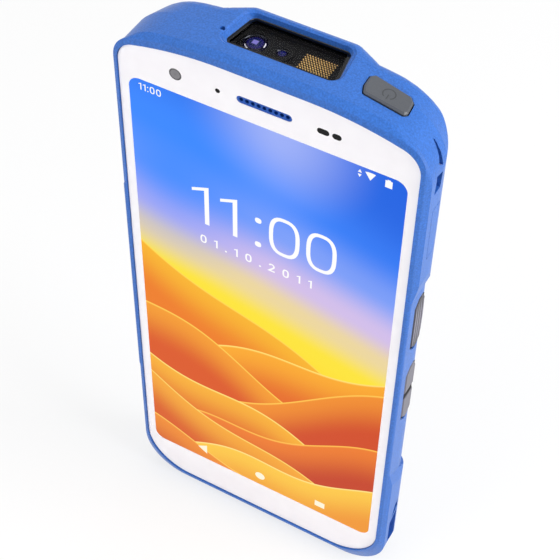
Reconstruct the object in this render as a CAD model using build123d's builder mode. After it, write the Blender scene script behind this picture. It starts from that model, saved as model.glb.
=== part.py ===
from build123d import *
import os
from math import asin, cos, sin, sqrt

# Slate-style data terminal with a barcode imager in its top end.
# Frame: it stands on its foot, +Z up its length, +X to the right seen from the display,
# and the display faces -Y. The origin is the centre of the footprint. Sizes are in mm.

os.makedirs("parts", exist_ok=True)

# --- case ---------------------------------------------------------------------------------
DEVICE_HEIGHT = 167.5
DEVICE_WIDTH = 77.4
BODY_DEPTH = 16.9
BULGE_RISE = 3.1          # how far the scanner bulge stands off the back
CROWN_FLAT = 10.0         # half of the straight middle of the top end
CROWN_RADIUS = 86.9       # arcs that fall away from it to the shoulders
RIM_CORNERS = (14.0, 13.0)   # outline behind the rim band: its top corners, its foot corners
BACK_CORNERS = (20.5, 13.0)  # outline at the back
GLASS_CORNERS = (8.0, 15.5)  # outlines round the glass, before their inset
RIM_LIP = (2.0, 2.3, 3.9)    # insets of the rim from the sides, the top and the foot
RIM_KNEE = (1.1, 1.2, 2.7)   # and where the rim's rounding bends
RIM_KNEE_DEPTH = 0.4
RIM_DEPTH = 1.9
SHOULDER_DEPTH = 9.5      # from here to the back the top corners grow rounder
END_ROUND = 3.0           # back edge at the top and the foot
SIDE_ROUND = 10.4         # back edge along the sides
BACK_WALL = 2.0

HALF_WIDTH = DEVICE_WIDTH / 2
FRONT = -(BODY_DEPTH + BULGE_RISE) / 2   # Y of the rim plane; every depth is counted from it
MARGIN = 1.0              # how far cutting tools run past the surface they leave by

# --- grip zone, a shallow waist for the hand ------------------------------------------------
GRIP_INSET = 0.7
GRIP_ROUND = 11.0         # back edge along the waist
GRIP_FOOT_DROP = 119.1    # the waist's lower end at the rim, below the apex
GRIP_TOP_DROP = 50.9      # its upper end, below the apex
GRIP_RAMP = 4.6           # length of the slope that ends it
GRIP_SLANT = 11.0         # how much lower its foot end lies at the back
PAD_CUT = 1.8
PAD_EDGE = 1.0
GRIP_HALF = HALF_WIDTH - GRIP_INSET
GRIP_FOOT = DEVICE_HEIGHT - GRIP_FOOT_DROP

# --- front glass, display and chassis -------------------------------------------------------
GLASS_SIDE = 2.2          # from the case outline to the glass
GLASS_TOP = 2.9
GLASS_FOOT = 4.3
GLASS_RECESS = 0.5
GLASS_THICKNESS = 1.0
GASKET_THICKNESS = 0.3
SEAT_GAP = 0.15
LEDGE = 1.8               # width that the gasket sticks to
DISPLAY_SIDE = 4.6        # from the case outline to the lit area
DISPLAY_DROP = 15.15      # top of the lit area, below the apex
DISPLAY_FOOT = 16.05
DISPLAY_BORDER = 0.5
DISPLAY_CORNER = 3.5
DISPLAY_THICKNESS = 2.1
CHASSIS_THICKNESS = 1.2
CHASSIS_GAP = 0.15
STEP = 1.65               # width that the chassis rests on
CAVITY_TOP = 6.2          # top wall over the inner cavity
CAVITY_FOOT = 7.2

GASKET_DEPTH = GLASS_RECESS + GLASS_THICKNESS
LEDGE_DEPTH = GASKET_DEPTH + GASKET_THICKNESS
CHASSIS_DEPTH = GASKET_DEPTH + DISPLAY_THICKNESS
STEP_DEPTH = CHASSIS_DEPTH + CHASSIS_THICKNESS
POCKET_SIDE = GLASS_SIDE - SEAT_GAP + LEDGE
POCKET_TOP = GLASS_TOP - SEAT_GAP + LEDGE
POCKET_FOOT = GLASS_FOOT - SEAT_GAP + LEDGE
CAVITY_SIDE = POCKET_SIDE + STEP
CAVITY_HALF = HALF_WIDTH - CAVITY_SIDE

# --- boards ---------------------------------------------------------------------------------
STANDOFF = 0.6
BOARD_THICKNESS = 1.0
BOARD_GAP = 2.1           # from the cavity's side wall
BOARD_FOOT_DROP = 75.5    # main board, from the apex down
BOARD_SHOULDER_DROP = 19.5
BOARD_TONGUE_GAP = 1.2    # from the cavity's crowned top to the tongue's end
TONGUE_INNER = 14.5       # the board's tongue runs up beside the scan engine
STRIP_INNER = 17.0        # side strip of the board that reaches down to the volume switches
STRIP_FOOT_DROP = 106.5
SHIELD_CANS = (((-15.5, 55.5), (23.0, 19.0)), ((6.5, 55.5), (17.0, 19.0)), ((3.0, 31.5), (22.0, 16.0)))
SHIELD_HEIGHT = 1.8
SHIELD_WALL = 0.25
SUB_BOARD_FOOT = 7.5
SUB_BOARD_TOP = 26.0
SUB_BOARD_CORNER = 9.0
FLEX_X = -9.0
FLEX_WIDTH = 10.0
FLEX_THICKNESS = 0.2
FLEX_LAP = 3.0
BOARD_HALF = CAVITY_HALF - BOARD_GAP
BOARD_FOOT = DEVICE_HEIGHT - BOARD_FOOT_DROP
BOARD_DEPTH = STEP_DEPTH + STANDOFF
PARTS_DEPTH = BOARD_DEPTH + BOARD_THICKNESS

# --- battery bay ----------------------------------------------------------------------------
BAY_SIDE = 10.5           # from the case outline to the bay
BAY_FOOT = 16.0
BAY_TOP_DROP = 65.5
BAY_CORNER = 3.0
BAY_FLOOR_DEPTH = 8.4
BAY_FLOOR = 1.0
BATTERY_GAP = 0.3
COVER_THICKNESS = 1.6
CELL_INSET = 1.2
COVER_EDGE = 0.3
LATCH_DROP = 79.5
LATCH_LENGTH = 6.3
LATCH_WIDTH = 9.2
LATCH_BASE = 0.6
LATCH_TONGUE = 1.3
LATCH_TONGUE_WIDTH = 6.0
LATCH_KNOB_WIDTH = 7.6
LATCH_KNOB = 0.75
LATCH_LIP = 0.5           # cover thickness that holds the latch down
LATCH_TRAVEL = 1.6
LATCH_GAP = 0.1
RIDGES = 3
RIDGE_PITCH = 1.4
RIDGE_WIDTH = 0.8
RIDGE_RISE = 0.25
RIDGE_TAPER = 30
KEEPER_GAP = 0.3
CONTACT_BLOCK_DROP = 5.0  # below the bay's upper end
CONTACT_BLOCK_WIDTH = 12.0
CONTACT_BLOCK_HEIGHT = 3.0
CONTACT_PINS = 4
CONTACT_PIN_PITCH = 2.8
CONTACT_PIN_RADIUS = 0.5
BAY_HALF = HALF_WIDTH - BAY_SIDE
BAY_TOP = DEVICE_HEIGHT - BAY_TOP_DROP
BAY_BACK = BAY_FLOOR_DEPTH + BAY_FLOOR
BACK_CAVITY_SIDE = 7.4
BACK_CAVITY_DEPTH = BODY_DEPTH - BACK_WALL

# --- buttons in the sides -------------------------------------------------------------------
BUTTON_WIDTH = 5.4
BUTTON_DEPTH = 6.2        # depth of their centre line
BUTTON_CUT = 1.9
BUTTON_EDGE = 0.6
BUTTON_PROUD = 0.1
BUTTON_THICKNESS = 2.5
BUTTON_GAP = 0.25
BUTTON_TRAVEL = 0.6
TRIGGER_LENGTH = 18.0
TRIGGER_DROP = 62.8       # centre, from the apex down
ROCKER_LENGTH = 20.8
ROCKER_DROP = 89.2
ROCKER_NOTCH = 1.0
ROCKER_STEM_OFFSET = 7.0
ROCKER_NOTCH_HALF = 1.3
PIN_RADIUS = 0.4
PIN_INSET = 0.5           # the rocker's pin, from its back face
PIN_SINK = 0.5            # how far the pin's ends run into the pocket walls
HUB_RADIUS = 0.9
FIT = 0.03
STEM_RADIUS = 0.8
STEM_GAP = 0.2
STEM_REACH = 0.4          # how far a stem stands into the cavity
SWITCH_LENGTH = 4.0
SWITCH_WIDTH = 3.0
SWITCH_HEIGHT = 1.8
SWITCH_GAP = 0.8          # from the stem at rest to the switch
BUTTON_FACE = GRIP_HALF + BUTTON_PROUD
BUTTON_BACK = BUTTON_FACE - BUTTON_THICKNESS
POCKET_FLOOR = BUTTON_BACK - BUTTON_TRAVEL - BUTTON_GAP
STEM_DEPTH = PARTS_DEPTH + SWITCH_HEIGHT / 2
TRIGGER_Z = DEVICE_HEIGHT - TRIGGER_DROP
ROCKER_Z = DEVICE_HEIGHT - ROCKER_DROP
PIN_X = BUTTON_BACK + PIN_INSET
PIN_SPAN = BUTTON_WIDTH + 2 * BUTTON_GAP + 2 * PIN_SINK

# --- power button on the crowned top --------------------------------------------------------
POWER_SIDE = 14.2         # from the case outline to the button's centre
POWER_DEPTH = 8.6
POWER_PROUD = 0.35
POWER_THICKNESS = 2.4
POWER_TRAVEL = 0.5
POWER_GAP = 0.25
POWER_EDGE = 0.4
POWER_MOAT = 1.5
POWER_MOAT_DEPTH = 0.3
POWER_OUTLINE = ((-4.6, -2.8), (4.9, -3.1), (5.5, -2.3), (5.2, 1.05), (4.0, 2.35), (-4.7, 3.25),
                 (-5.55, 2.3), (-5.4, -0.8))
POWER_CORNER = 0.6
POWER_STEM_LENGTH = 7.8   # from the top surface to the stem's end
POWER_X = HALF_WIDTH - POWER_SIDE

# --- scanner --------------------------------------------------------------------------------
BULGE_CREST_HALF = 12.6
BULGE_FOOT_HALF = 18.6    # where its flanks meet the back
BULGE_EDGE = 3.2
BULGE_TOP_ROUND = 3.0
BULGE_LENGTH = 38.5
BULGE_TAPER = 12.0
BULGE_BURY = 0.1          # how far its root lies below the rounding of the back
WINDOW_WIDTH = 27.0       # along its front edge
WINDOW_FAR_WIDTH = 23.6
WINDOW_FRONT = 6.7        # depths of its front and back edges
WINDOW_BACK = 17.1
WINDOW_CORNER = 1.6
WINDOW_DROP = 1.9         # window face, below the apex
WINDOW_THICKNESS = 0.8
FRAME_THICKNESS = 0.4
FRAME_WIDTH = 0.5         # ledge that carries the frame
FRAME_BORDER = 0.7
RECESS_FLARES = (1.1, 1.5, 0.1)   # how far the recess widens to its mouth at sides, front and back
RECESS_EDGE = 0.5         # bevel of the mouth
ENGINE_INSET = 0.75       # from the window's outline to the engine
BRACKET_WIDTH = 22.0
BRACKET_DROP = 3.0        # the bracket's leg ends this far under the engine's face
ENGINE_HEIGHT = 10.5
ENGINE_GAP = 0.3          # from the window frame to the engine's raised face
HOUSING_RAISE = 0.5
IMAGER_X = -8.4
IMAGER_RADIUS = 3.1
AIMER_X = -1.9
AIMER_RADIUS = 1.45
LENS_HOUSING_RADIUS = 3.3
LENS_HOUSING_END = -2.7   # X of the housing's right-hand centre
MESH_X = 6.3
MESH_WIDTH = 7.7
MESH_BREADTH = 6.0
MESH_THICKNESS = 0.8
LENS_DEPTH = 11.5
LENS_THICKNESS = 0.6
LENS_DOME = 0.25
BRACKET_THICKNESS = 0.8
ENGINE_CAVITY_TOP = WINDOW_DROP + WINDOW_THICKNESS + FRAME_THICKNESS
ENGINE_FACE = DEVICE_HEIGHT - ENGINE_CAVITY_TOP - ENGINE_GAP - HOUSING_RAISE

# --- openings in the glass ------------------------------------------------------------------
FRONT_ROW_DROP = 9.8      # height of the camera and earpiece row, below the apex
EARPIECE_WIDTH = 13.4
EARPIECE_HEIGHT = 2.0
EARPIECE_THICKNESS = 0.8
EARPIECE_SINK = 0.15      # from the glass face to the grille
EARPIECE_HOLES = 9
EARPIECE_HOLE = 0.5
EARPIECE_PITCH = 1.4
FRONT_CAMERA_X = -21.8
FRONT_CAMERA_RADIUS = 1.55
STATUS_X = -11.3
STATUS_RADIUS = 0.45
SENSOR_XS = (14.0, 17.2)
SENSOR_WIDTHS = (2.9, 2.2)
SENSOR_HEIGHT = 1.55

# --- cord slots at the corners --------------------------------------------------------------
STRAP_FLOOR = 3.0         # depth of the slots, from the side
STRAP_BAR = 1.2
UPPER_STRAP = ((7.3, 5.2), (7.45, 9.9), (7.2, 14.6), (6.6, 18.7), (3.7, 18.8), (4.3, 13.9), (5.6, 11.8),
               (6.3, 10.4), (6.8, 8.0))
UPPER_BAR = ((4.0, 10.5), (8.0, 13.6), (8.0, 14.8), (3.0, 13.6))
LOWER_STRAP = ((8.0, 28.2), (6.2, 27.6), (3.9, 21.0), (3.7, 8.8), (6.5, 9.5), (8.0, 12.0))
LOWER_BAR = ((3.0, 22.2), (10.0, 26.0), (10.0, 24.8), (3.0, 21.0))

# --- card tray in the right side ------------------------------------------------------------
TRAY_DROP = 31.5          # centre, from the apex down
TRAY_LENGTH = 14.8
TRAY_COVER_WIDTH = 3.4
TRAY_COVER_THICKNESS = 1.1
TRAY_COVER_DEPTH = 6.0
TRAY_GAP = 0.15
TRAY_TONGUE = 17.0
TRAY_TONGUE_LENGTH = 13.2
TRAY_TONGUE_THICKNESS = 0.9
TRAY_CARD_WIDTH = 12.0
TRAY_CARD_LENGTH = 9.0
SOCKET_WALL = 0.2
SOCKET_REACH = 16.0

# --- back and foot --------------------------------------------------------------------------
CAMERA_SIDE = 15.5        # from the case outline to the camera's centre
CAMERA_DROP = 27.5
CAMERA_SIZE = 8.6
CAMERA_WINDOW_WIDTH = 9.2
CAMERA_WINDOW_LENGTH = 18.0
CAMERA_WINDOW_THICKNESS = 0.8
CAMERA_WINDOW_LEDGE = 0.8
CAMERA_BARREL_RADIUS = 3.4
CAMERA_LENS_RADIUS = 2.6
CAMERA_BODY = 6.0
CAMERA_CORNER = 4.5
CAMERA_BACK_GAP = 0.1     # from the barrel and the flash to the window
CAMERA_OFFSET = 3.9
FLASH_RADIUS = 1.9
SPEAKER_X = -17.0
SPEAKER_Z = 9.6
SPEAKER_WIDTH = 17.0
SPEAKER_HEIGHT = 7.6
SPEAKER_DEPTH = 5.6
GRILLE_SLOTS = 6
GRILLE_PITCH = 2.0
GRILLE_SLOT = 0.9
GRILLE_LENGTH = 5.0
FOOT_CAVITY_FOOT = 5.0
FOOT_CAVITY_TOP = 14.2
MOTOR_X = 17.0
MOTOR_LENGTH = 10.0
MOTOR_RADIUS = 2.6
USB_WIDTH = 9.0
USB_HEIGHT = 3.2
USB_WALL = 0.3
USB_LENGTH = 9.0
USB_RECESS = 0.8
USB_TONGUE_WIDTH = 6.6
USB_TONGUE = 0.7
CONTACT_OFFSETS = (-16.0, -12.0, 12.0, 16.0)
CONTACT_RADIUS = 1.3
CONTACT_HEAD = 1.6
CONTACT_SHAFT_RADIUS = 0.7
CONTACT_LENGTH = 9.0
CONTACT_RECESS = 0.3
DOCK_WIDTH = 39.0         # insert round the port and the charging contacts
DOCK_BREADTH = 6.4
DOCK_CORNER = 2.0
DOCK_THICKNESS = 1.2
DOCK_GAP = 0.1
DOCK_DEPTH = 7.6          # depth of its centre line
MIC_X = -14.8
MIC_DEPTH = 8.8
MIC_RADIUS = 0.6

# --- screws ---------------------------------------------------------------------------------
BOSS_INSET = 1.4          # boss centre, from the cavity's side wall
SCREW_FOOT = 14.0
SCREW_DROPS = (111.5, 45.5, 20.5)
SCREW_RADIUS = 0.7
SCREW_HEAD_RADIUS = 1.35
SCREW_HEAD = 0.6
SCREW_LENGTH = 3.4
BOSS_RADIUS = 2.1
BOARD_SCREW_X = 26.0
BOARD_SCREW_DROPS = ((-1, 71.0), (1, 71.0), (-1, 43.5), (1, 48.0))
BOARD_SCREW_FOOT = 12.0
STANDOFF_RADIUS = 2.0
BOARD_SCREW_LENGTH = 2.2
SCREW_X = CAVITY_HALF - BOSS_INSET
SCREW_HEIGHTS = (SCREW_FOOT, *(DEVICE_HEIGHT - drop for drop in SCREW_DROPS))
CHASSIS_SCREWS = [(x, z) for x in (-SCREW_X, SCREW_X) for z in SCREW_HEIGHTS]
MAIN_BOARD_SCREWS = [(side * BOARD_SCREW_X, DEVICE_HEIGHT - drop) for side, drop in BOARD_SCREW_DROPS]
SUB_BOARD_SCREWS = [(side * BOARD_SCREW_X, BOARD_SCREW_FOOT) for side in (-1, 1)]

# --- places worked out from the sizes above -------------------------------------------------
CAMERA_X = -(HALF_WIDTH - CAMERA_SIDE)
CAMERA_Z = DEVICE_HEIGHT - CAMERA_DROP
TRAY_Z = DEVICE_HEIGHT - TRAY_DROP
TRAY_TONGUE_DEPTH = PARTS_DEPTH + SOCKET_WALL + TRAY_GAP + TRAY_TONGUE_THICKNESS / 2
FRONT_ROW_Z = DEVICE_HEIGHT - FRONT_ROW_DROP
LATCH_Z = DEVICE_HEIGHT - LATCH_DROP
LATCH_TIP = BAY_HALF - BATTERY_GAP + LATCH_TONGUE
LATCH_DEPTH = BODY_DEPTH - LATCH_LIP - LATCH_BASE - LATCH_GAP / 2
CONTACT_BLOCK_Z = BAY_TOP - CONTACT_BLOCK_DROP
USB_DEPTH = PARTS_DEPTH + USB_HEIGHT / 2
CONTACT_DEPTH = PARTS_DEPTH + CONTACT_SHAFT_RADIUS


def facing(depth):
    """Plane parallel to the display, depth behind the rim. Its local axes are X and Z."""
    return Plane.XZ.offset(-(FRONT + depth))


def side_plane(x):
    """Plane across the width at x. Its local axes are Y and Z."""
    return Plane.YZ.offset(x)


def crown_height(x, inset=0.0):
    """Height of the crowned top at x, for an outline moved inwards by inset."""
    radius = CROWN_RADIUS - inset
    return DEVICE_HEIGHT - CROWN_RADIUS + sqrt(radius**2 - max(abs(x) - CROWN_FLAT, 0) ** 2)


def case_outline(plane, side=0.0, top=0.0, foot=0.0, corners=GLASS_CORNERS):
    """Outline of the case seen from the front, moved inwards on each side."""
    half = HALF_WIDTH - side
    middle = (half + CROWN_FLAT) / 2
    flat_end, bend, shoulder = ((x, crown_height(x, top)) for x in (CROWN_FLAT, middle, half))
    with BuildSketch(plane) as outline:
        with BuildLine():
            Polyline((-flat_end[0], flat_end[1]), flat_end)
            ThreePointArc(flat_end, bend, shoulder)
            Polyline(shoulder, (half, foot), (-half, foot), (-half, shoulder[1]))
            ThreePointArc((-half, shoulder[1]), (-bend[0], bend[1]), (-flat_end[0], flat_end[1]))
        make_face()
        fillet(outline.vertices().group_by(Axis.Y)[1], corners[0] - side)
        fillet(outline.vertices().group_by(Axis.Y)[0], corners[1] - side)
    return outline.sketch


def body_section(plane, half, edge):
    """Section across the case, with its rounded back edges."""
    with BuildSketch(plane) as section:
        with Locations((0, FRONT + BODY_DEPTH / 2)):
            Rectangle(2 * half, BODY_DEPTH)
        fillet(section.vertices().group_by(Axis.Y)[-1], edge)
    return section.sketch


def polygon(plane, points):
    """Straight-sided sketch on a plane."""
    with BuildSketch(plane) as sketch:
        with BuildLine():
            Polyline(*points, close=True)
        make_face()
    return sketch.sketch


def rounded_plan(plane, width, breadth, corner, centre=(0, 0)):
    """Rounded rectangle on a plane."""
    with BuildSketch(plane) as sketch:
        with Locations(centre):
            RectangleRounded(width, breadth, corner)
    return sketch.sketch


def button_plan(plane, length, height, grow=0.0):
    """Long six-sided outline of a side button, centred at a height."""
    with BuildSketch(plane) as sketch:
        with Locations((FRONT + BUTTON_DEPTH, height)):
            Rectangle(BUTTON_WIDTH + 2 * grow, length + 2 * grow)
        chamfer(sketch.vertices(), BUTTON_CUT + grow / 2)
    return sketch.sketch


def power_plan(plane, grow=0.0):
    """Lop-sided outline of the power button, with rounded corners."""
    with BuildSketch(plane) as sketch:
        with BuildLine():
            Polyline(*POWER_OUTLINE, close=True)
        make_face()
        fillet(sketch.vertices(), POWER_CORNER)
        if grow:
            offset(amount=grow, kind=Kind.ARC)
    return sketch.sketch


def side_points(points, top_down):
    """Points of a corner slot as Y and Z, from depths and heights off the apex or the foot."""
    return [(FRONT + depth, DEVICE_HEIGHT - height if top_down else height) for depth, height in points]


def keep(node, name):
    """Name a finished piece and write it to its file."""
    node.part.label = name
    export_step(node.part, f"parts/{name}.step")


power_tilt = asin((POWER_X - CROWN_FLAT) / CROWN_RADIUS)
POWER_PLANE = Plane(
    origin=(POWER_X, FRONT + POWER_DEPTH, crown_height(POWER_X)),
    x_dir=(cos(power_tilt), 0, -sin(power_tilt)),
    z_dir=(sin(power_tilt), 0, cos(power_tilt)),
)

# --- outlines shared by a piece and its opening ---------------------------------------------
def window_plan(plane, sides=0.0, front=0.0, back=0.0):
    """Outline of the scan window, wider at the front, grown by an amount on each edge."""
    near, far = FRONT + WINDOW_FRONT - front, FRONT + WINDOW_BACK + back
    with BuildSketch(plane) as sketch:
        with BuildLine():
            Polyline((-WINDOW_WIDTH / 2 - sides, near), (WINDOW_WIDTH / 2 + sides, near),
                     (WINDOW_FAR_WIDTH / 2 + sides, far), (-WINDOW_FAR_WIDTH / 2 - sides, far), close=True)
        make_face()
        fillet(sketch.vertices(), WINDOW_CORNER + sides)
    return sketch.sketch


def earpiece_plan(plane):
    """Slot of the earpiece."""
    with BuildSketch(plane) as sketch:
        with Locations((0, FRONT_ROW_Z)):
            SlotOverall(EARPIECE_WIDTH, EARPIECE_HEIGHT)
    return sketch.sketch


def camera_spot(plane):
    """Round spot of the front camera."""
    with BuildSketch(plane) as sketch:
        with Locations((FRONT_CAMERA_X, FRONT_ROW_Z)):
            Circle(FRONT_CAMERA_RADIUS)
    return sketch.sketch


def sensor_spots(plane):
    """Two oblong sensor spots and the small round status spot."""
    with BuildSketch(plane) as sketch:
        for x, width in zip(SENSOR_XS, SENSOR_WIDTHS):
            with Locations((x, FRONT_ROW_Z)):
                SlotOverall(width, SENSOR_HEIGHT)
        with Locations((STATUS_X, FRONT_ROW_Z)):
            Circle(STATUS_RADIUS)
    return sketch.sketch


def camera_pill(plane, inset=0.0):
    """Upright oblong of the rear camera window."""
    with BuildSketch(plane) as sketch:
        with Locations((CAMERA_X, CAMERA_Z)):
            RectangleRounded(CAMERA_WINDOW_WIDTH - 2 * inset, CAMERA_WINDOW_LENGTH - 2 * inset,
                             CAMERA_CORNER - inset)
    return sketch.sketch


def usb_plan(plane, inset=0.0):
    """Slot of the port in the foot."""
    with BuildSketch(plane) as sketch:
        with Locations((0, FRONT + USB_DEPTH)):
            SlotOverall(USB_WIDTH - 2 * inset, USB_HEIGHT - 2 * inset)
    return sketch.sketch


def dock_plan(plane, grow=0.0):
    """Outline of the insert in the foot."""
    return rounded_plan(plane, DOCK_WIDTH + 2 * grow, DOCK_BREADTH + 2 * grow, DOCK_CORNER + grow,
                        (0, FRONT + DOCK_DEPTH))


def board_holes(plane, screws):
    """Screw holes of a board and its notches round the chassis bosses."""
    with BuildSketch(plane) as sketch:
        with Locations(screws):
            Circle(SCREW_RADIUS + FIT)
        with Locations(CHASSIS_SCREWS):
            Circle(BOSS_RADIUS + BUTTON_GAP)
    return sketch.sketch


# --- tools that shape the case --------------------------------------------------------------
with BuildPart() as grip_relief:
    with BuildSketch(Plane.XY) as around:
        with Locations((0, FRONT + BODY_DEPTH / 2)):
            Rectangle(DEVICE_WIDTH + 2 * MARGIN, BODY_DEPTH + 2 * MARGIN)
    extrude(amount=DEVICE_HEIGHT)
    extrude(body_section(Plane.XY, GRIP_HALF, GRIP_ROUND), amount=DEVICE_HEIGHT, mode=Mode.SUBTRACT)
    far = HALF_WIDTH + MARGIN
    run_out = GRIP_RAMP * (GRIP_INSET + MARGIN) / GRIP_INSET
    high = DEVICE_HEIGHT - GRIP_TOP_DROP
    waists = []
    for depth in (-MARGIN, BODY_DEPTH + MARGIN):
        low = GRIP_FOOT - GRIP_SLANT * depth / BODY_DEPTH
        waists.append(polygon(facing(depth), (
            (-far, low - run_out), (-GRIP_HALF, low), (GRIP_HALF, low), (far, low - run_out),
            (far, high + run_out), (GRIP_HALF, high), (-GRIP_HALF, high), (-far, high + run_out))))
    loft(waists, mode=Mode.INTERSECT)

with BuildPart() as grip_pads:
    low = GRIP_FOOT
    high = DEVICE_HEIGHT - GRIP_TOP_DROP
    pad = polygon(facing(0), (
        (GRIP_HALF - PAD_CUT, low - PAD_CUT), (GRIP_HALF, low),
        (GRIP_HALF, high), (GRIP_HALF - PAD_CUT, high + PAD_CUT)))
    extrude(pad, amount=-RIM_DEPTH)
    fillet(grip_pads.edges().filter_by(Axis.Z).group_by(Axis.X)[-1].sort_by(Axis.Y)[0], PAD_EDGE)
    mirror(about=Plane.YZ)

with BuildPart() as bulge:
    crest = FRONT + BODY_DEPTH + BULGE_RISE
    sunk = END_ROUND + BULGE_BURY
    root = FRONT + BODY_DEPTH - sunk
    root_half = BULGE_FOOT_HALF + sunk * (BULGE_FOOT_HALF - BULGE_CREST_HALF) / BULGE_RISE
    with BuildSketch(Plane.XY) as bulge_section:
        with BuildLine():
            Polyline((-root_half, root), (-BULGE_CREST_HALF, crest), (BULGE_CREST_HALF, crest),
                     (root_half, root), close=True)
        make_face()
        fillet(bulge_section.vertices().group_by(Axis.Y)[-1], BULGE_EDGE)
    extrude(amount=DEVICE_HEIGHT)
    foot = DEVICE_HEIGHT - BULGE_LENGTH
    with BuildSketch(side_plane(0)) as bulge_profile:
        with BuildLine():
            Polyline(
                (root, foot), (FRONT + BODY_DEPTH, foot), (crest, foot + BULGE_TAPER),
                (crest, DEVICE_HEIGHT), (root, DEVICE_HEIGHT), close=True)
        make_face()
    extrude(amount=root_half + MARGIN, both=True, mode=Mode.INTERSECT)
    extrude(case_outline(facing(0), corners=BACK_CORNERS), amount=-(BODY_DEPTH + BULGE_RISE), mode=Mode.INTERSECT)
    top_edges = [edge for edge in bulge.edges() if edge.center().Z > crown_height(BULGE_FOOT_HALF) - MARGIN
                 and edge.center().Y > root + MARGIN and abs(edge.tangent_at(0.5).X) > 0.5]
    fillet(top_edges, BULGE_TOP_ROUND)

with BuildPart() as strap_slots:
    for outline, bar, top_down in ((UPPER_STRAP, UPPER_BAR, True), (LOWER_STRAP, LOWER_BAR, False)):
        slot = polygon(side_plane(HALF_WIDTH - STRAP_FLOOR), side_points(outline, top_down))
        extrude(slot, amount=STRAP_FLOOR + MARGIN)
        bridge = polygon(side_plane(HALF_WIDTH - STRAP_BAR), side_points(bar, top_down))
        extrude(bridge, amount=STRAP_BAR + MARGIN, mode=Mode.SUBTRACT)
    mirror(about=Plane.YZ)

with BuildPart() as scan_recess:
    seat = window_plan(Plane.XY.offset(DEVICE_HEIGHT - WINDOW_DROP))
    loft((seat, window_plan(Plane.XY.offset(DEVICE_HEIGHT), *RECESS_FLARES)))
    bevelled = [flare + 2 * RECESS_EDGE for flare in RECESS_FLARES]
    loft((window_plan(Plane.XY.offset(DEVICE_HEIGHT - RECESS_EDGE), *RECESS_FLARES),
          window_plan(Plane.XY.offset(DEVICE_HEIGHT + RECESS_EDGE), *bevelled)))
    extrude(seat, amount=-(WINDOW_THICKNESS + FRAME_THICKNESS))
    well = window_plan(Plane.XY.offset(DEVICE_HEIGHT - ENGINE_CAVITY_TOP), -FRAME_WIDTH, -FRAME_WIDTH, -FRAME_WIDTH)
    extrude(well, amount=-(ENGINE_HEIGHT + 2 * MARGIN))

with BuildPart() as button_pockets:
    trigger_pocket = button_plan(side_plane(POCKET_FLOOR), TRIGGER_LENGTH, TRIGGER_Z, BUTTON_GAP)
    extrude(trigger_pocket, amount=HALF_WIDTH - POCKET_FLOOR + MARGIN)
    with BuildSketch(side_plane(CAVITY_HALF - MARGIN)):
        with Locations((FRONT + STEM_DEPTH, TRIGGER_Z)):
            Circle(STEM_RADIUS + STEM_GAP)
    extrude(amount=POCKET_FLOOR - CAVITY_HALF + 2 * MARGIN)
    mirror(about=Plane.YZ)
    rocker_pocket = button_plan(side_plane(POCKET_FLOOR), ROCKER_LENGTH, ROCKER_Z, BUTTON_GAP)
    extrude(rocker_pocket, amount=HALF_WIDTH - POCKET_FLOOR + MARGIN)
    with BuildSketch(side_plane(CAVITY_HALF - MARGIN)):
        with Locations((FRONT + STEM_DEPTH, ROCKER_Z)):
            with GridLocations(0, 2 * ROCKER_STEM_OFFSET, 1, 2):
                Circle(STEM_RADIUS + 2 * STEM_GAP)
    extrude(amount=POCKET_FLOOR - CAVITY_HALF + 2 * MARGIN)
    with BuildSketch(facing(BUTTON_DEPTH - PIN_SPAN / 2)):
        with Locations((PIN_X, ROCKER_Z)):
            Circle(PIN_RADIUS + FIT)
    extrude(amount=-PIN_SPAN)

with BuildPart() as power_pocket:
    extrude(power_plan(POWER_PLANE, POWER_GAP),
            amount=-(POWER_THICKNESS - POWER_PROUD + POWER_TRAVEL + POWER_GAP))
    moat = power_plan(POWER_PLANE, POWER_MOAT)
    extrude(moat, amount=MARGIN)
    loft((moat, power_plan(POWER_PLANE.offset(-POWER_MOAT_DEPTH), POWER_GAP)))
    with BuildSketch(POWER_PLANE):
        with Locations((0, STEM_DEPTH - POWER_DEPTH)):
            Circle(STEM_RADIUS + STEM_GAP)
    extrude(amount=-(POWER_STEM_LENGTH + 2 * MARGIN))

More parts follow.
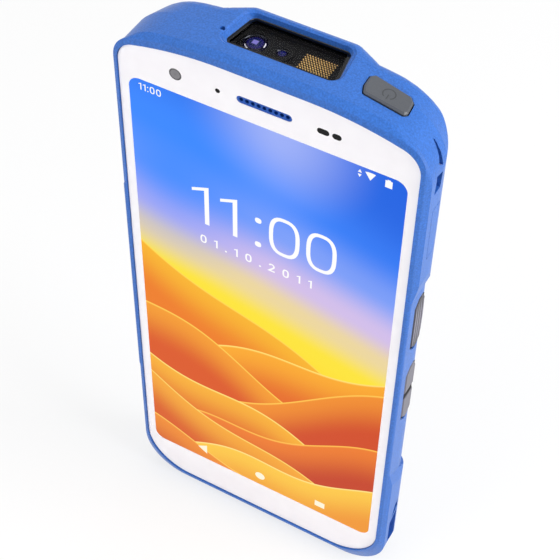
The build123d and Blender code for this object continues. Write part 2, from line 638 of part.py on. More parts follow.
with BuildPart() as wall_openings:
    # card tray: recess of its cover and slot of its tongue
    with BuildSketch(side_plane(HALF_WIDTH - TRAY_COVER_THICKNESS)):
        with Locations((FRONT + TRAY_COVER_DEPTH, TRAY_Z)):
            Rectangle(TRAY_COVER_WIDTH + 2 * TRAY_GAP, TRAY_LENGTH + 2 * TRAY_GAP)
    extrude(amount=TRAY_COVER_THICKNESS + MARGIN)
    with BuildSketch(side_plane(CAVITY_HALF - MARGIN)):
        with Locations((FRONT + TRAY_TONGUE_DEPTH, TRAY_Z)):
            Rectangle(TRAY_TONGUE_THICKNESS + 2 * TRAY_GAP, TRAY_TONGUE_LENGTH + 2 * TRAY_GAP)
    extrude(amount=CAVITY_SIDE)

    # rear camera window, with a ledge round the hole behind it
    extrude(camera_pill(facing(BODY_DEPTH - CAMERA_WINDOW_THICKNESS)), amount=-CAMERA_WINDOW_THICKNESS)
    extrude(camera_pill(facing(BACK_CAVITY_DEPTH), CAMERA_WINDOW_LEDGE), amount=-BACK_WALL)

    # loudspeaker grille
    with BuildSketch(facing(BACK_CAVITY_DEPTH)):
        with Locations((SPEAKER_X, SPEAKER_Z)):
            with GridLocations(GRILLE_PITCH, 0, GRILLE_SLOTS, 1):
                SlotOverall(GRILLE_LENGTH, GRILLE_SLOT, rotation=90)
    extrude(amount=-BACK_WALL)

    # keepers of the battery latches, open to the back
    keeper_depth = LATCH_DEPTH - KEEPER_GAP
    with BuildSketch(facing(keeper_depth)):
        for keeper_side in (-1, 1):
            with Locations((keeper_side * BAY_HALF, LATCH_Z)):
                Rectangle(2 * (LATCH_TIP + KEEPER_GAP - BAY_HALF), LATCH_TONGUE_WIDTH + 2 * KEEPER_GAP)
    extrude(amount=-(BODY_DEPTH - keeper_depth))

    # window of the battery contacts in the bay floor
    contact_gap = 2 * TRAY_GAP
    contact_window = rounded_plan(
        facing(BAY_FLOOR_DEPTH), CONTACT_BLOCK_WIDTH + contact_gap, CONTACT_BLOCK_HEIGHT + contact_gap,
        TRAY_GAP, (0, CONTACT_BLOCK_Z))
    extrude(contact_window, amount=-BAY_FLOOR)

    # insert, port and charging contacts in the foot, microphone hole in the top
    extrude(dock_plan(Plane.XY, DOCK_GAP), amount=DOCK_THICKNESS)
    extrude(usb_plan(Plane.XY), amount=CAVITY_FOOT)
    with BuildSketch(Plane.XY):
        with Locations([(x, FRONT + CONTACT_DEPTH) for x in CONTACT_OFFSETS]):
            Circle(CONTACT_RADIUS + FIT)
    extrude(amount=CONTACT_RECESS + CONTACT_HEAD)
    with BuildSketch(Plane.XY):
        with Locations([(x, FRONT + CONTACT_DEPTH) for x in CONTACT_OFFSETS]):
            Circle(CONTACT_SHAFT_RADIUS + FIT)
    extrude(amount=CAVITY_FOOT)
    with BuildSketch(Plane.XY.offset(DEVICE_HEIGHT)):
        with Locations((MIC_X, FRONT + MIC_DEPTH)):
            Circle(MIC_RADIUS)
    extrude(amount=-(CAVITY_TOP + 2 * MARGIN))

# --- main housing: the one-piece case -------------------------------------------------------
with BuildPart() as main_housing:
    full_outline = case_outline(facing(RIM_DEPTH), corners=RIM_CORNERS)
    loft((case_outline(facing(0), *RIM_LIP), case_outline(facing(RIM_KNEE_DEPTH), *RIM_KNEE)))
    loft((case_outline(facing(RIM_KNEE_DEPTH), *RIM_KNEE), full_outline))
    extrude(full_outline, amount=-(SHOULDER_DEPTH - RIM_DEPTH))
    shoulder_outline = case_outline(facing(SHOULDER_DEPTH), corners=RIM_CORNERS)
    loft((shoulder_outline, case_outline(facing(BODY_DEPTH), corners=BACK_CORNERS)))
    fillet(main_housing.faces().sort_by(Axis.Y)[-1].edges(), END_ROUND)
    extrude(body_section(Plane.XY, HALF_WIDTH, SIDE_ROUND), amount=DEVICE_HEIGHT, mode=Mode.INTERSECT)
    add(grip_pads.part)
    add(grip_relief.part, mode=Mode.SUBTRACT)
    add(bulge.part)

    # seat of the glass, display pocket and inner cavity
    glass_seat = case_outline(facing(0), GLASS_SIDE - SEAT_GAP, GLASS_TOP - SEAT_GAP, GLASS_FOOT - SEAT_GAP)
    extrude(glass_seat, amount=-LEDGE_DEPTH, mode=Mode.SUBTRACT)
    display_pocket = case_outline(facing(LEDGE_DEPTH), POCKET_SIDE, POCKET_TOP, POCKET_FOOT)
    extrude(display_pocket, amount=-(STEP_DEPTH - LEDGE_DEPTH), mode=Mode.SUBTRACT)
    cavity = case_outline(facing(STEP_DEPTH), CAVITY_SIDE, CAVITY_TOP, CAVITY_FOOT)
    extrude(cavity, amount=-(BAY_FLOOR_DEPTH - STEP_DEPTH), mode=Mode.SUBTRACT)

    # room behind the boards, above the battery bay and below it
    with BuildSketch(facing(BAY_FLOOR_DEPTH)) as upper_room:
        add(case_outline(Plane.XY, BACK_CAVITY_SIDE, CAVITY_TOP, CAVITY_FOOT))
        with Locations((0, (BAY_TOP + BACK_WALL) / 2)):
            Rectangle(DEVICE_WIDTH, BAY_TOP + BACK_WALL, mode=Mode.SUBTRACT)
    extrude(amount=-(BACK_CAVITY_DEPTH - BAY_FLOOR_DEPTH), mode=Mode.SUBTRACT)
    foot_height = FOOT_CAVITY_TOP - FOOT_CAVITY_FOOT
    foot_room = rounded_plan(facing(BAY_FLOOR_DEPTH), 2 * BAY_HALF, foot_height, WINDOW_CORNER,
                             (0, FOOT_CAVITY_FOOT + foot_height / 2))
    extrude(foot_room, amount=-(BACK_CAVITY_DEPTH - BAY_FLOOR_DEPTH), mode=Mode.SUBTRACT)

    # bosses for the chassis screws, battery bay and keepers
    with BuildSketch(facing(STEP_DEPTH)):
        with Locations(CHASSIS_SCREWS):
            Circle(BOSS_RADIUS)
    extrude(amount=-(BAY_FLOOR_DEPTH - STEP_DEPTH))
    with BuildSketch(facing(STEP_DEPTH)):
        with Locations(CHASSIS_SCREWS):
            Circle(SCREW_RADIUS + FIT)
    extrude(amount=-(SCREW_LENGTH - CHASSIS_THICKNESS), mode=Mode.SUBTRACT)
    bay_length = BAY_TOP - BAY_FOOT
    bay = rounded_plan(facing(BAY_BACK), 2 * BAY_HALF, bay_length, BAY_CORNER, (0, BAY_FOOT + bay_length / 2))
    extrude(bay, amount=-BODY_DEPTH, mode=Mode.SUBTRACT)

    add(strap_slots.part, mode=Mode.SUBTRACT)
    add(scan_recess.part, mode=Mode.SUBTRACT)
    add(button_pockets.part, mode=Mode.SUBTRACT)
    add(power_pocket.part, mode=Mode.SUBTRACT)
    add(wall_openings.part, mode=Mode.SUBTRACT)
keep(main_housing, "main_housing")

# --- cover glass and what shows through it --------------------------------------------------
with BuildPart() as cover_glass:
    extrude(case_outline(facing(GLASS_RECESS), GLASS_SIDE, GLASS_TOP, GLASS_FOOT), amount=-GLASS_THICKNESS)
    extrude(earpiece_plan(facing(GLASS_RECESS)), amount=-GLASS_THICKNESS, mode=Mode.SUBTRACT)
    extrude(camera_spot(facing(GLASS_RECESS)), amount=-GLASS_THICKNESS, mode=Mode.SUBTRACT)
    extrude(sensor_spots(facing(GLASS_RECESS)), amount=-GLASS_THICKNESS, mode=Mode.SUBTRACT)
keep(cover_glass, "cover_glass")

with BuildPart() as front_camera_window:
    extrude(camera_spot(facing(GLASS_RECESS)), amount=-GLASS_THICKNESS)
keep(front_camera_window, "front_camera_window")

with BuildPart() as sensor_windows:
    extrude(sensor_spots(facing(GLASS_RECESS)), amount=-GLASS_THICKNESS)
keep(sensor_windows, "sensor_windows")

with BuildPart() as earpiece_grille:
    extrude(earpiece_plan(facing(GLASS_RECESS + EARPIECE_SINK)), amount=-EARPIECE_THICKNESS)
    with BuildSketch(facing(GLASS_RECESS)):
        with Locations((0, FRONT_ROW_Z)):
            with GridLocations(EARPIECE_PITCH, 0, EARPIECE_HOLES, 1):
                Circle(EARPIECE_HOLE)
    extrude(amount=-GLASS_THICKNESS, mode=Mode.SUBTRACT)
keep(earpiece_grille, "earpiece_grille")

with BuildPart() as earpiece_speaker:
    capsule = rounded_plan(facing(GASKET_DEPTH), EARPIECE_WIDTH + 2 * MARGIN, 3 * EARPIECE_HEIGHT,
                           EARPIECE_HEIGHT, (0, FRONT_ROW_Z))
    extrude(capsule, amount=-DISPLAY_THICKNESS)
keep(earpiece_speaker, "earpiece_speaker")

with BuildPart() as front_camera:
    base = rounded_plan(facing(CHASSIS_DEPTH), 4 * FRONT_CAMERA_RADIUS, 4 * FRONT_CAMERA_RADIUS,
                        FRONT_CAMERA_RADIUS / 2, (FRONT_CAMERA_X, FRONT_ROW_Z))
    extrude(base, amount=DISPLAY_THICKNESS / 2)
    extrude(camera_spot(facing(CHASSIS_DEPTH)), amount=DISPLAY_THICKNESS)
keep(front_camera, "front_camera")

with BuildPart() as display_gasket:
    ring = case_outline(facing(GASKET_DEPTH), GLASS_SIDE, GLASS_TOP, GLASS_FOOT)
    hole = case_outline(facing(GASKET_DEPTH), POCKET_SIDE, POCKET_TOP, POCKET_FOOT)
    extrude(ring, amount=-GASKET_THICKNESS)
    extrude(hole, amount=-GASKET_THICKNESS, mode=Mode.SUBTRACT)
keep(display_gasket, "display_gasket")

with BuildPart() as display_module:
    panel_width = DEVICE_WIDTH - 2 * (DISPLAY_SIDE - DISPLAY_BORDER)
    panel_top = DEVICE_HEIGHT - DISPLAY_DROP + DISPLAY_BORDER
    panel_foot = DISPLAY_FOOT - DISPLAY_BORDER
    panel = rounded_plan(facing(GASKET_DEPTH), panel_width, panel_top - panel_foot, DISPLAY_CORNER,
                         (0, (panel_top + panel_foot) / 2))
    extrude(panel, amount=-DISPLAY_THICKNESS)
keep(display_module, "display_module")

# --- chassis plate and its screws -----------------------------------------------------------
with BuildPart() as chassis_plate:
    plate = case_outline(facing(CHASSIS_DEPTH), POCKET_SIDE + CHASSIS_GAP, POCKET_TOP + CHASSIS_GAP,
                         POCKET_FOOT + CHASSIS_GAP)
    extrude(plate, amount=-CHASSIS_THICKNESS)
    with BuildSketch(facing(STEP_DEPTH)):
        with Locations(MAIN_BOARD_SCREWS + SUB_BOARD_SCREWS):
            Circle(STANDOFF_RADIUS)
    extrude(amount=-STANDOFF)
    with BuildSketch(facing(CHASSIS_DEPTH)):
        with Locations(CHASSIS_SCREWS):
            Circle(SCREW_HEAD_RADIUS + FIT)
    extrude(amount=-SCREW_HEAD, mode=Mode.SUBTRACT)
    with BuildSketch(facing(CHASSIS_DEPTH)):
        with Locations(CHASSIS_SCREWS):
            Circle(SCREW_RADIUS + FIT)
    extrude(amount=-CHASSIS_THICKNESS, mode=Mode.SUBTRACT)
    with BuildSketch(facing(PARTS_DEPTH - BOARD_SCREW_LENGTH)):
        with Locations(MAIN_BOARD_SCREWS + SUB_BOARD_SCREWS):
            Circle(SCREW_RADIUS + FIT)
    extrude(amount=-BOARD_SCREW_LENGTH, mode=Mode.SUBTRACT)
keep(chassis_plate, "chassis_plate")

with BuildPart() as chassis_screws:
    with BuildSketch(facing(CHASSIS_DEPTH)):
        with Locations(CHASSIS_SCREWS):
            Circle(SCREW_HEAD_RADIUS)
    extrude(amount=-SCREW_HEAD)
    with BuildSketch(facing(CHASSIS_DEPTH)):
        with Locations(CHASSIS_SCREWS):
            Circle(SCREW_RADIUS)
    extrude(amount=-SCREW_LENGTH)
keep(chassis_screws, "chassis_screws")

# --- boards ---------------------------------------------------------------------------------
with BuildPart() as main_board:
    shoulder = DEVICE_HEIGHT - BOARD_SHOULDER_DROP
    tongue = crown_height(BOARD_HALF, CAVITY_TOP) - BOARD_TONGUE_GAP
    strip = DEVICE_HEIGHT - STRIP_FOOT_DROP
    board = polygon(facing(BOARD_DEPTH), (
        (-BOARD_HALF, BOARD_FOOT), (STRIP_INNER, BOARD_FOOT), (STRIP_INNER, strip), (BOARD_HALF, strip),
        (BOARD_HALF, tongue), (TONGUE_INNER, tongue), (TONGUE_INNER, shoulder), (-BOARD_HALF, shoulder)))
    extrude(board, amount=-BOARD_THICKNESS)
    extrude(board_holes(facing(BOARD_DEPTH), MAIN_BOARD_SCREWS), amount=-BOARD_THICKNESS, mode=Mode.SUBTRACT)
keep(main_board, "main_board")

with BuildPart() as sub_board:
    sub_height = SUB_BOARD_TOP - SUB_BOARD_FOOT
    strip_plan = rounded_plan(facing(BOARD_DEPTH), 2 * BOARD_HALF, sub_height, SUB_BOARD_CORNER,
                              (0, SUB_BOARD_FOOT + sub_height / 2))
    extrude(strip_plan, amount=-BOARD_THICKNESS)
    extrude(board_holes(facing(BOARD_DEPTH), SUB_BOARD_SCREWS), amount=-BOARD_THICKNESS, mode=Mode.SUBTRACT)
keep(sub_board, "sub_board")

with BuildPart() as board_screws:
    with BuildSketch(facing(PARTS_DEPTH)):
        with Locations(MAIN_BOARD_SCREWS + SUB_BOARD_SCREWS):
            Circle(SCREW_HEAD_RADIUS)
    extrude(amount=-SCREW_HEAD)
    with BuildSketch(facing(PARTS_DEPTH - BOARD_SCREW_LENGTH)):
        with Locations(MAIN_BOARD_SCREWS + SUB_BOARD_SCREWS):
            Circle(SCREW_RADIUS)
    extrude(amount=-BOARD_SCREW_LENGTH)
keep(board_screws, "board_screws")

with BuildPart() as link_flex:
    flex_foot = SUB_BOARD_TOP - FLEX_LAP
    flex_top = BOARD_FOOT + FLEX_LAP
    flex = rounded_plan(facing(PARTS_DEPTH), FLEX_WIDTH, flex_top - flex_foot, MARGIN,
                        (FLEX_X, (flex_top + flex_foot) / 2))
    extrude(flex, amount=-FLEX_THICKNESS)
keep(link_flex, "link_flex")

with BuildPart() as shield_cans:
    for centre, size in SHIELD_CANS:
        can = rounded_plan(facing(PARTS_DEPTH), *size, MARGIN, (centre[0], DEVICE_HEIGHT - centre[1]))
        extrude(can, amount=-SHIELD_HEIGHT)
        inner = rounded_plan(facing(PARTS_DEPTH), size[0] - 2 * SHIELD_WALL, size[1] - 2 * SHIELD_WALL,
                             MARGIN - SHIELD_WALL, (centre[0], DEVICE_HEIGHT - centre[1]))
        extrude(inner, amount=-(SHIELD_HEIGHT - SHIELD_WALL), mode=Mode.SUBTRACT)
keep(shield_cans, "shield_cans")

# --- card tray and its socket ---------------------------------------------------------------
with BuildPart() as card_tray:
    cover_inner = HALF_WIDTH - TRAY_COVER_THICKNESS
    with BuildSketch(side_plane(cover_inner)):
        with Locations((FRONT + TRAY_COVER_DEPTH, TRAY_Z)):
            Rectangle(TRAY_COVER_WIDTH, TRAY_LENGTH)
    extrude(amount=TRAY_COVER_THICKNESS)
    with BuildSketch(side_plane(cover_inner - TRAY_TONGUE)):
        with Locations((FRONT + TRAY_TONGUE_DEPTH, TRAY_Z)):
            Rectangle(TRAY_TONGUE_THICKNESS, TRAY_TONGUE_LENGTH)
    extrude(amount=TRAY_TONGUE)
    card = rounded_plan(facing(TRAY_TONGUE_DEPTH), TRAY_CARD_WIDTH, TRAY_CARD_LENGTH, MARGIN,
                        (cover_inner - TRAY_TONGUE + TRAY_CARD_WIDTH / 2 + MARGIN, TRAY_Z))
    extrude(card, amount=-TRAY_TONGUE_THICKNESS, mode=Mode.SUBTRACT)
keep(card_tray, "card_tray")

with BuildPart() as card_socket:
    slot_depth = TRAY_TONGUE_THICKNESS + 2 * TRAY_GAP
    slot_length = TRAY_TONGUE_LENGTH + 2 * TRAY_GAP
    with BuildSketch(side_plane(CAVITY_HALF - SOCKET_REACH)):
        with Locations((FRONT + TRAY_TONGUE_DEPTH, TRAY_Z)):
            Rectangle(slot_depth + 2 * SOCKET_WALL, slot_length + 2 * SOCKET_WALL)
    extrude(amount=SOCKET_REACH)
    with BuildSketch(side_plane(CAVITY_HALF - SOCKET_REACH + SOCKET_WALL)):
        with Locations((FRONT + TRAY_TONGUE_DEPTH, TRAY_Z)):
            Rectangle(slot_depth, slot_length)
    extrude(amount=SOCKET_REACH, mode=Mode.SUBTRACT)
keep(card_socket, "card_socket")

# --- scan window, its frame and the engine behind it ----------------------------------------
window_face = DEVICE_HEIGHT - WINDOW_DROP
lens_y = FRONT + LENS_DEPTH

with BuildPart() as scan_window:
    extrude(window_plan(Plane.XY.offset(window_face)), amount=-WINDOW_THICKNESS)
keep(scan_window, "scan_window")

with BuildPart() as scan_window_frame:
    frame_top = Plane.XY.offset(window_face - WINDOW_THICKNESS)
    extrude(window_plan(frame_top), amount=-FRAME_THICKNESS)
    opening = window_plan(frame_top, -FRAME_BORDER, -FRAME_BORDER, -FRAME_BORDER)
    extrude(opening, amount=-FRAME_THICKNESS, mode=Mode.SUBTRACT)
keep(scan_window_frame, "scan_window_frame")

with BuildPart() as scan_engine:
    engine_face = Plane.XY.offset(ENGINE_FACE)
    extrude(window_plan(engine_face, -ENGINE_INSET, -ENGINE_INSET, -ENGINE_INSET), amount=-ENGINE_HEIGHT)
    with BuildSketch(engine_face):
        left_end = IMAGER_X
        with Locations(((left_end + LENS_HOUSING_END) / 2, lens_y)):
            SlotCenterToCenter(LENS_HOUSING_END - left_end, 2 * LENS_HOUSING_RADIUS)
    extrude(amount=HOUSING_RAISE)
    for x, radius in ((IMAGER_X, IMAGER_RADIUS), (AIMER_X, AIMER_RADIUS)):
        with BuildSketch(Plane.XY.offset(ENGINE_FACE + HOUSING_RAISE)):
            with Locations((x, lens_y)):
                Circle(radius)
        extrude(amount=-(LENS_THICKNESS + LENS_DOME), mode=Mode.SUBTRACT)
    with BuildSketch(engine_face):
        with Locations((MESH_X, lens_y)):
            Rectangle(MESH_WIDTH, MESH_BREADTH)
    extrude(amount=-MESH_THICKNESS, mode=Mode.SUBTRACT)
keep(scan_engine, "scan_engine")


def lens_plan(x, radius):
    """Round base of a lens, at the bottom of its bore in the engine."""
    base = ENGINE_FACE + HOUSING_RAISE - LENS_THICKNESS - LENS_DOME
    with BuildSketch(Plane.XY.offset(base)) as sketch:
        with Locations((x, lens_y)):
            Circle(radius)
    return sketch.sketch


with BuildPart() as imager_lens:
    extrude(lens_plan(IMAGER_X, IMAGER_RADIUS), amount=LENS_THICKNESS)
    fillet(imager_lens.faces().sort_by(Axis.Z)[-1].edges(), LENS_DOME)
keep(imager_lens, "imager_lens")

with BuildPart() as aimer_lens:
    extrude(lens_plan(AIMER_X, AIMER_RADIUS), amount=LENS_THICKNESS)
    fillet(aimer_lens.faces().sort_by(Axis.Z)[-1].edges(), LENS_DOME)
keep(aimer_lens, "aimer_lens")

with BuildPart() as illumination_array:
    with BuildSketch(Plane.XY.offset(ENGINE_FACE - MESH_THICKNESS)):
        with Locations((MESH_X, lens_y)):
            Rectangle(MESH_WIDTH, MESH_BREADTH)
    extrude(amount=MESH_THICKNESS)
keep(illumination_array, "illumination_array")

with BuildPart() as engine_bracket:
    # shelf that stands out from the chassis plate under the engine, and a leg up the engine's front
    shelf_top = ENGINE_FACE - ENGINE_HEIGHT
    leg_back = FRONT + WINDOW_FRONT + ENGINE_INSET
    shelf_end = FRONT + WINDOW_BACK - ENGINE_INSET
    bracket = polygon(side_plane(-BRACKET_WIDTH / 2), (
        (FRONT + STEP_DEPTH, shelf_top - BRACKET_THICKNESS), (shelf_end, shelf_top - BRACKET_THICKNESS),
        (shelf_end, shelf_top), (leg_back, shelf_top),
        (leg_back, ENGINE_FACE - BRACKET_DROP), (leg_back - BRACKET_THICKNESS, ENGINE_FACE - BRACKET_DROP),
        (leg_back - BRACKET_THICKNESS, shelf_top), (FRONT + STEP_DEPTH, shelf_top)))
    extrude(bracket, amount=BRACKET_WIDTH)
keep(engine_bracket, "engine_bracket")

# --- scan triggers and volume rocker --------------------------------------------------------
with BuildPart() as right_trigger:
    extrude(button_plan(side_plane(BUTTON_BACK), TRIGGER_LENGTH, TRIGGER_Z), amount=BUTTON_THICKNESS)
    chamfer(right_trigger.faces().sort_by(Axis.X)[-1].edges(), BUTTON_EDGE)
    with BuildSketch(side_plane(CAVITY_HALF - STEM_REACH)):
        with Locations((FRONT + STEM_DEPTH, TRIGGER_Z)):
            Circle(STEM_RADIUS)
    extrude(amount=BUTTON_BACK - CAVITY_HALF + STEM_REACH)
keep(right_trigger, "right_trigger")

with BuildPart() as left_trigger:
    mirror(right_trigger.part, about=Plane.YZ)
keep(left_trigger, "left_trigger")

with BuildPart() as volume_rocker:
    extrude(button_plan(side_plane(BUTTON_BACK), ROCKER_LENGTH, ROCKER_Z), amount=BUTTON_THICKNESS)
    chamfer(volume_rocker.faces().sort_by(Axis.X)[-1].edges(), BUTTON_EDGE)
    notch = polygon(facing(BUTTON_DEPTH), (
        (BUTTON_FACE + MARGIN, ROCKER_Z + ROCKER_NOTCH_HALF * (MARGIN + ROCKER_NOTCH) / ROCKER_NOTCH),
        (BUTTON_FACE - ROCKER_NOTCH, ROCKER_Z),
        (BUTTON_FACE + MARGIN, ROCKER_Z - ROCKER_NOTCH_HALF * (MARGIN + ROCKER_NOTCH) / ROCKER_NOTCH)))
    extrude(notch, amount=BUTTON_WIDTH, both=True, mode=Mode.SUBTRACT)
    with BuildSketch(facing(BUTTON_DEPTH)):
        with Locations((PIN_X, ROCKER_Z)):
            Circle(HUB_RADIUS)
    extrude(amount=BUTTON_WIDTH / 2, both=True)
    with BuildSketch(facing(BUTTON_DEPTH)):
        with Locations((PIN_X, ROCKER_Z)):
            Circle(PIN_RADIUS + FIT)
    extrude(amount=BUTTON_WIDTH, both=True, mode=Mode.SUBTRACT)
    with BuildSketch(side_plane(CAVITY_HALF - STEM_REACH)):
        with Locations((FRONT + STEM_DEPTH, ROCKER_Z)):
            with GridLocations(0, 2 * ROCKER_STEM_OFFSET, 1, 2):
                Circle(STEM_RADIUS)
    extrude(amount=BUTTON_BACK - CAVITY_HALF + STEM_REACH)
keep(volume_rocker, "volume_rocker")

with BuildPart() as volume_pin:
    with BuildSketch(facing(BUTTON_DEPTH - PIN_SPAN / 2)):
        with Locations((PIN_X, ROCKER_Z)):
            Circle(PIN_RADIUS)
    extrude(amount=-PIN_SPAN)
keep(volume_pin, "volume_pin")


def side_switch(sign, height):
    """Plan of a push switch on the board's edge, facing a stem at a height."""
    inner = CAVITY_HALF - STEM_REACH - SWITCH_GAP - SWITCH_WIDTH
    with BuildSketch(facing(PARTS_DEPTH)) as sketch:
        with Locations((sign * (inner + SWITCH_WIDTH / 2), height)):
            Rectangle(SWITCH_WIDTH, SWITCH_LENGTH)
    return sketch.sketch


with BuildPart() as right_trigger_switch:
    extrude(side_switch(1, TRIGGER_Z), amount=-SWITCH_HEIGHT)
keep(right_trigger_switch, "right_trigger_switch")

with BuildPart() as left_trigger_switch:
    extrude(side_switch(-1, TRIGGER_Z), amount=-SWITCH_HEIGHT)
keep(left_trigger_switch, "left_trigger_switch")

with BuildPart() as volume_switches:
    for step in (-ROCKER_STEM_OFFSET, ROCKER_STEM_OFFSET):
        extrude(side_switch(1, ROCKER_Z + step), amount=-SWITCH_HEIGHT)
keep(volume_switches, "volume_switches")

# --- power button ---------------------------------------------------------------------------
with BuildPart() as power_button:
    extrude(power_plan(POWER_PLANE.offset(POWER_PROUD)), amount=-POWER_THICKNESS)
    top_face = power_button.faces().sort_by(Axis(POWER_PLANE.origin, POWER_PLANE.z_dir))[-1]
    chamfer(top_face.edges(), POWER_EDGE)
    with BuildSketch(POWER_PLANE.offset(-POWER_STEM_LENGTH)):
        with Locations((0, STEM_DEPTH - POWER_DEPTH)):
            Circle(STEM_RADIUS)
    extrude(amount=POWER_STEM_LENGTH + POWER_PROUD - POWER_THICKNESS)
keep(power_button, "power_button")

with BuildPart() as power_switch:
    with BuildSketch(POWER_PLANE.offset(-POWER_STEM_LENGTH - SWITCH_GAP)):
        with Locations((0, STEM_DEPTH - POWER_DEPTH)):
            Rectangle(SWITCH_LENGTH, SWITCH_HEIGHT)
    extrude(amount=-SWITCH_WIDTH)
keep(power_switch, "power_switch")

# --- battery, its cover and latches ---------------------------------------------------------
cover_width = 2 * (BAY_HALF - BATTERY_GAP)
cover_height = BAY_TOP - BAY_FOOT - 2 * BATTERY_GAP
bay_middle = (0, (BAY_TOP + BAY_FOOT) / 2)
cover_side = BAY_HALF - BATTERY_GAP

with BuildPart() as battery_cell:
    cell_depth = BAY_BACK + BATTERY_GAP
    cell = rounded_plan(facing(cell_depth), cover_width - 2 * CELL_INSET, cover_height - 2 * CELL_INSET,
                        BAY_CORNER - CELL_INSET, bay_middle)
    extrude(cell, amount=-(BODY_DEPTH - COVER_THICKNESS - cell_depth))
    fillet(battery_cell.faces().sort_by(Axis.Y)[0].edges(), COVER_EDGE)
keep(battery_cell, "battery_cell")

with BuildPart() as battery_cover:
    cover = rounded_plan(facing(BODY_DEPTH - COVER_THICKNESS), cover_width, cover_height,
                         BAY_CORNER - BATTERY_GAP, bay_middle)
    extrude(cover, amount=-COVER_THICKNESS)
    chamfer(battery_cover.faces().sort_by(Axis.Y)[-1].edges(), COVER_EDGE)
    slot_run = LATCH_LENGTH + LATCH_TRAVEL + LATCH_GAP
    for latch_side in (-1, 1):
        slot_x = latch_side * (cover_side + MARGIN - (slot_run + MARGIN) / 2)
        with BuildSketch(facing(LATCH_DEPTH - LATCH_GAP / 2)):
            with Locations((slot_x, LATCH_Z)):
                Rectangle(slot_run + MARGIN, LATCH_WIDTH + 2 * LATCH_GAP)
        extrude(amount=-(LATCH_BASE + LATCH_GAP), mode=Mode.SUBTRACT)
        with BuildSketch(facing(LATCH_DEPTH)):
            with Locations((slot_x, LATCH_Z)):
                Rectangle(slot_run + MARGIN, LATCH_KNOB_WIDTH + 2 * LATCH_GAP)
        extrude(amount=-(BODY_DEPTH - LATCH_DEPTH), mode=Mode.SUBTRACT)
keep(battery_cover, "battery_cover")

with BuildPart() as right_latch:
    base_x = cover_side - LATCH_LENGTH / 2
    with BuildSketch(facing(LATCH_DEPTH)):
        with Locations((base_x, LATCH_Z)):
            Rectangle(LATCH_LENGTH, LATCH_WIDTH)
        with Locations((cover_side + LATCH_TONGUE / 2, LATCH_Z)):
            Rectangle(LATCH_TONGUE, LATCH_TONGUE_WIDTH)
    extrude(amount=-LATCH_BASE)
    with BuildSketch(facing(LATCH_DEPTH + LATCH_BASE)):
        with Locations((base_x, LATCH_Z)):
            Rectangle(LATCH_LENGTH - LATCH_TRAVEL / 2, LATCH_KNOB_WIDTH)
    extrude(amount=-LATCH_KNOB)
    with BuildSketch(facing(LATCH_DEPTH + LATCH_BASE + LATCH_KNOB)):
        with Locations((base_x, LATCH_Z)):
            with GridLocations(RIDGE_PITCH, 0, RIDGES, 1):
                Rectangle(RIDGE_WIDTH, LATCH_KNOB_WIDTH - MARGIN)
    extrude(amount=-RIDGE_RISE, taper=RIDGE_TAPER)
keep(right_latch, "right_latch")

with BuildPart() as left_latch:
    mirror(right_latch.part, about=Plane.YZ)
keep(left_latch, "left_latch")

with BuildPart() as battery_contacts:
    contact_block = rounded_plan(facing(PARTS_DEPTH), CONTACT_BLOCK_WIDTH, CONTACT_BLOCK_HEIGHT,
                                 TRAY_GAP, (0, CONTACT_BLOCK_Z))
    extrude(contact_block, amount=-(BAY_BACK - BATTERY_GAP - PARTS_DEPTH))
    with BuildSketch(facing(BAY_BACK - BATTERY_GAP)):
        with Locations((0, CONTACT_BLOCK_Z)):
            with GridLocations(CONTACT_PIN_PITCH, 0, CONTACT_PINS, 1):
                Circle(CONTACT_PIN_RADIUS)
    extrude(amount=-BATTERY_GAP)
keep(battery_contacts, "battery_contacts")

# --- rear camera, flash and their window ----------------------------------------------------
barrel_back = BODY_DEPTH - CAMERA_WINDOW_THICKNESS - CAMERA_BACK_GAP

with BuildPart() as rear_camera_window:
    extrude(camera_pill(facing(BODY_DEPTH - CAMERA_WINDOW_THICKNESS)), amount=-CAMERA_WINDOW_THICKNESS)
keep(rear_camera_window, "rear_camera_window")

with BuildPart() as rear_camera:
    camera_centre = (CAMERA_X, CAMERA_Z + CAMERA_OFFSET)
    holder = rounded_plan(facing(PARTS_DEPTH), CAMERA_SIZE, CAMERA_SIZE, MARGIN, camera_centre)
    extrude(holder, amount=-CAMERA_BODY)
    with BuildSketch(facing(PARTS_DEPTH + CAMERA_BODY)):
        with Locations(camera_centre):
            Circle(CAMERA_BARREL_RADIUS)
    extrude(amount=-(barrel_back - PARTS_DEPTH - CAMERA_BODY))
    with BuildSketch(facing(barrel_back)):
        with Locations(camera_centre):
            Circle(CAMERA_LENS_RADIUS)
    extrude(amount=MARGIN, taper=RIDGE_TAPER, mode=Mode.SUBTRACT)
keep(rear_camera, "rear_camera")

with BuildPart() as flash_light:
    with BuildSketch(facing(PARTS_DEPTH)):
        with Locations((CAMERA_X, CAMERA_Z - CAMERA_OFFSET)):
            Circle(FLASH_RADIUS)
    extrude(amount=-(barrel_back - PARTS_DEPTH))
keep(flash_light, "flash_light")

# --- foot: loudspeaker, vibration motor, port and charging contacts -------------------------
with BuildPart() as loudspeaker:
    box = rounded_plan(facing(BACK_CAVITY_DEPTH), SPEAKER_WIDTH, SPEAKER_HEIGHT, MARGIN, (SPEAKER_X, SPEAKER_Z))
    extrude(box, amount=SPEAKER_DEPTH)
keep(loudspeaker, "loudspeaker")

with BuildPart() as vibration_motor:
    with BuildSketch(side_plane(MOTOR_X - MOTOR_LENGTH / 2)):
        with Locations((FRONT + BACK_CAVITY_DEPTH - MOTOR_RADIUS, SPEAKER_Z)):
            Circle(MOTOR_RADIUS)
    extrude(amount=MOTOR_LENGTH)
keep(vibration_motor, "vibration_motor")

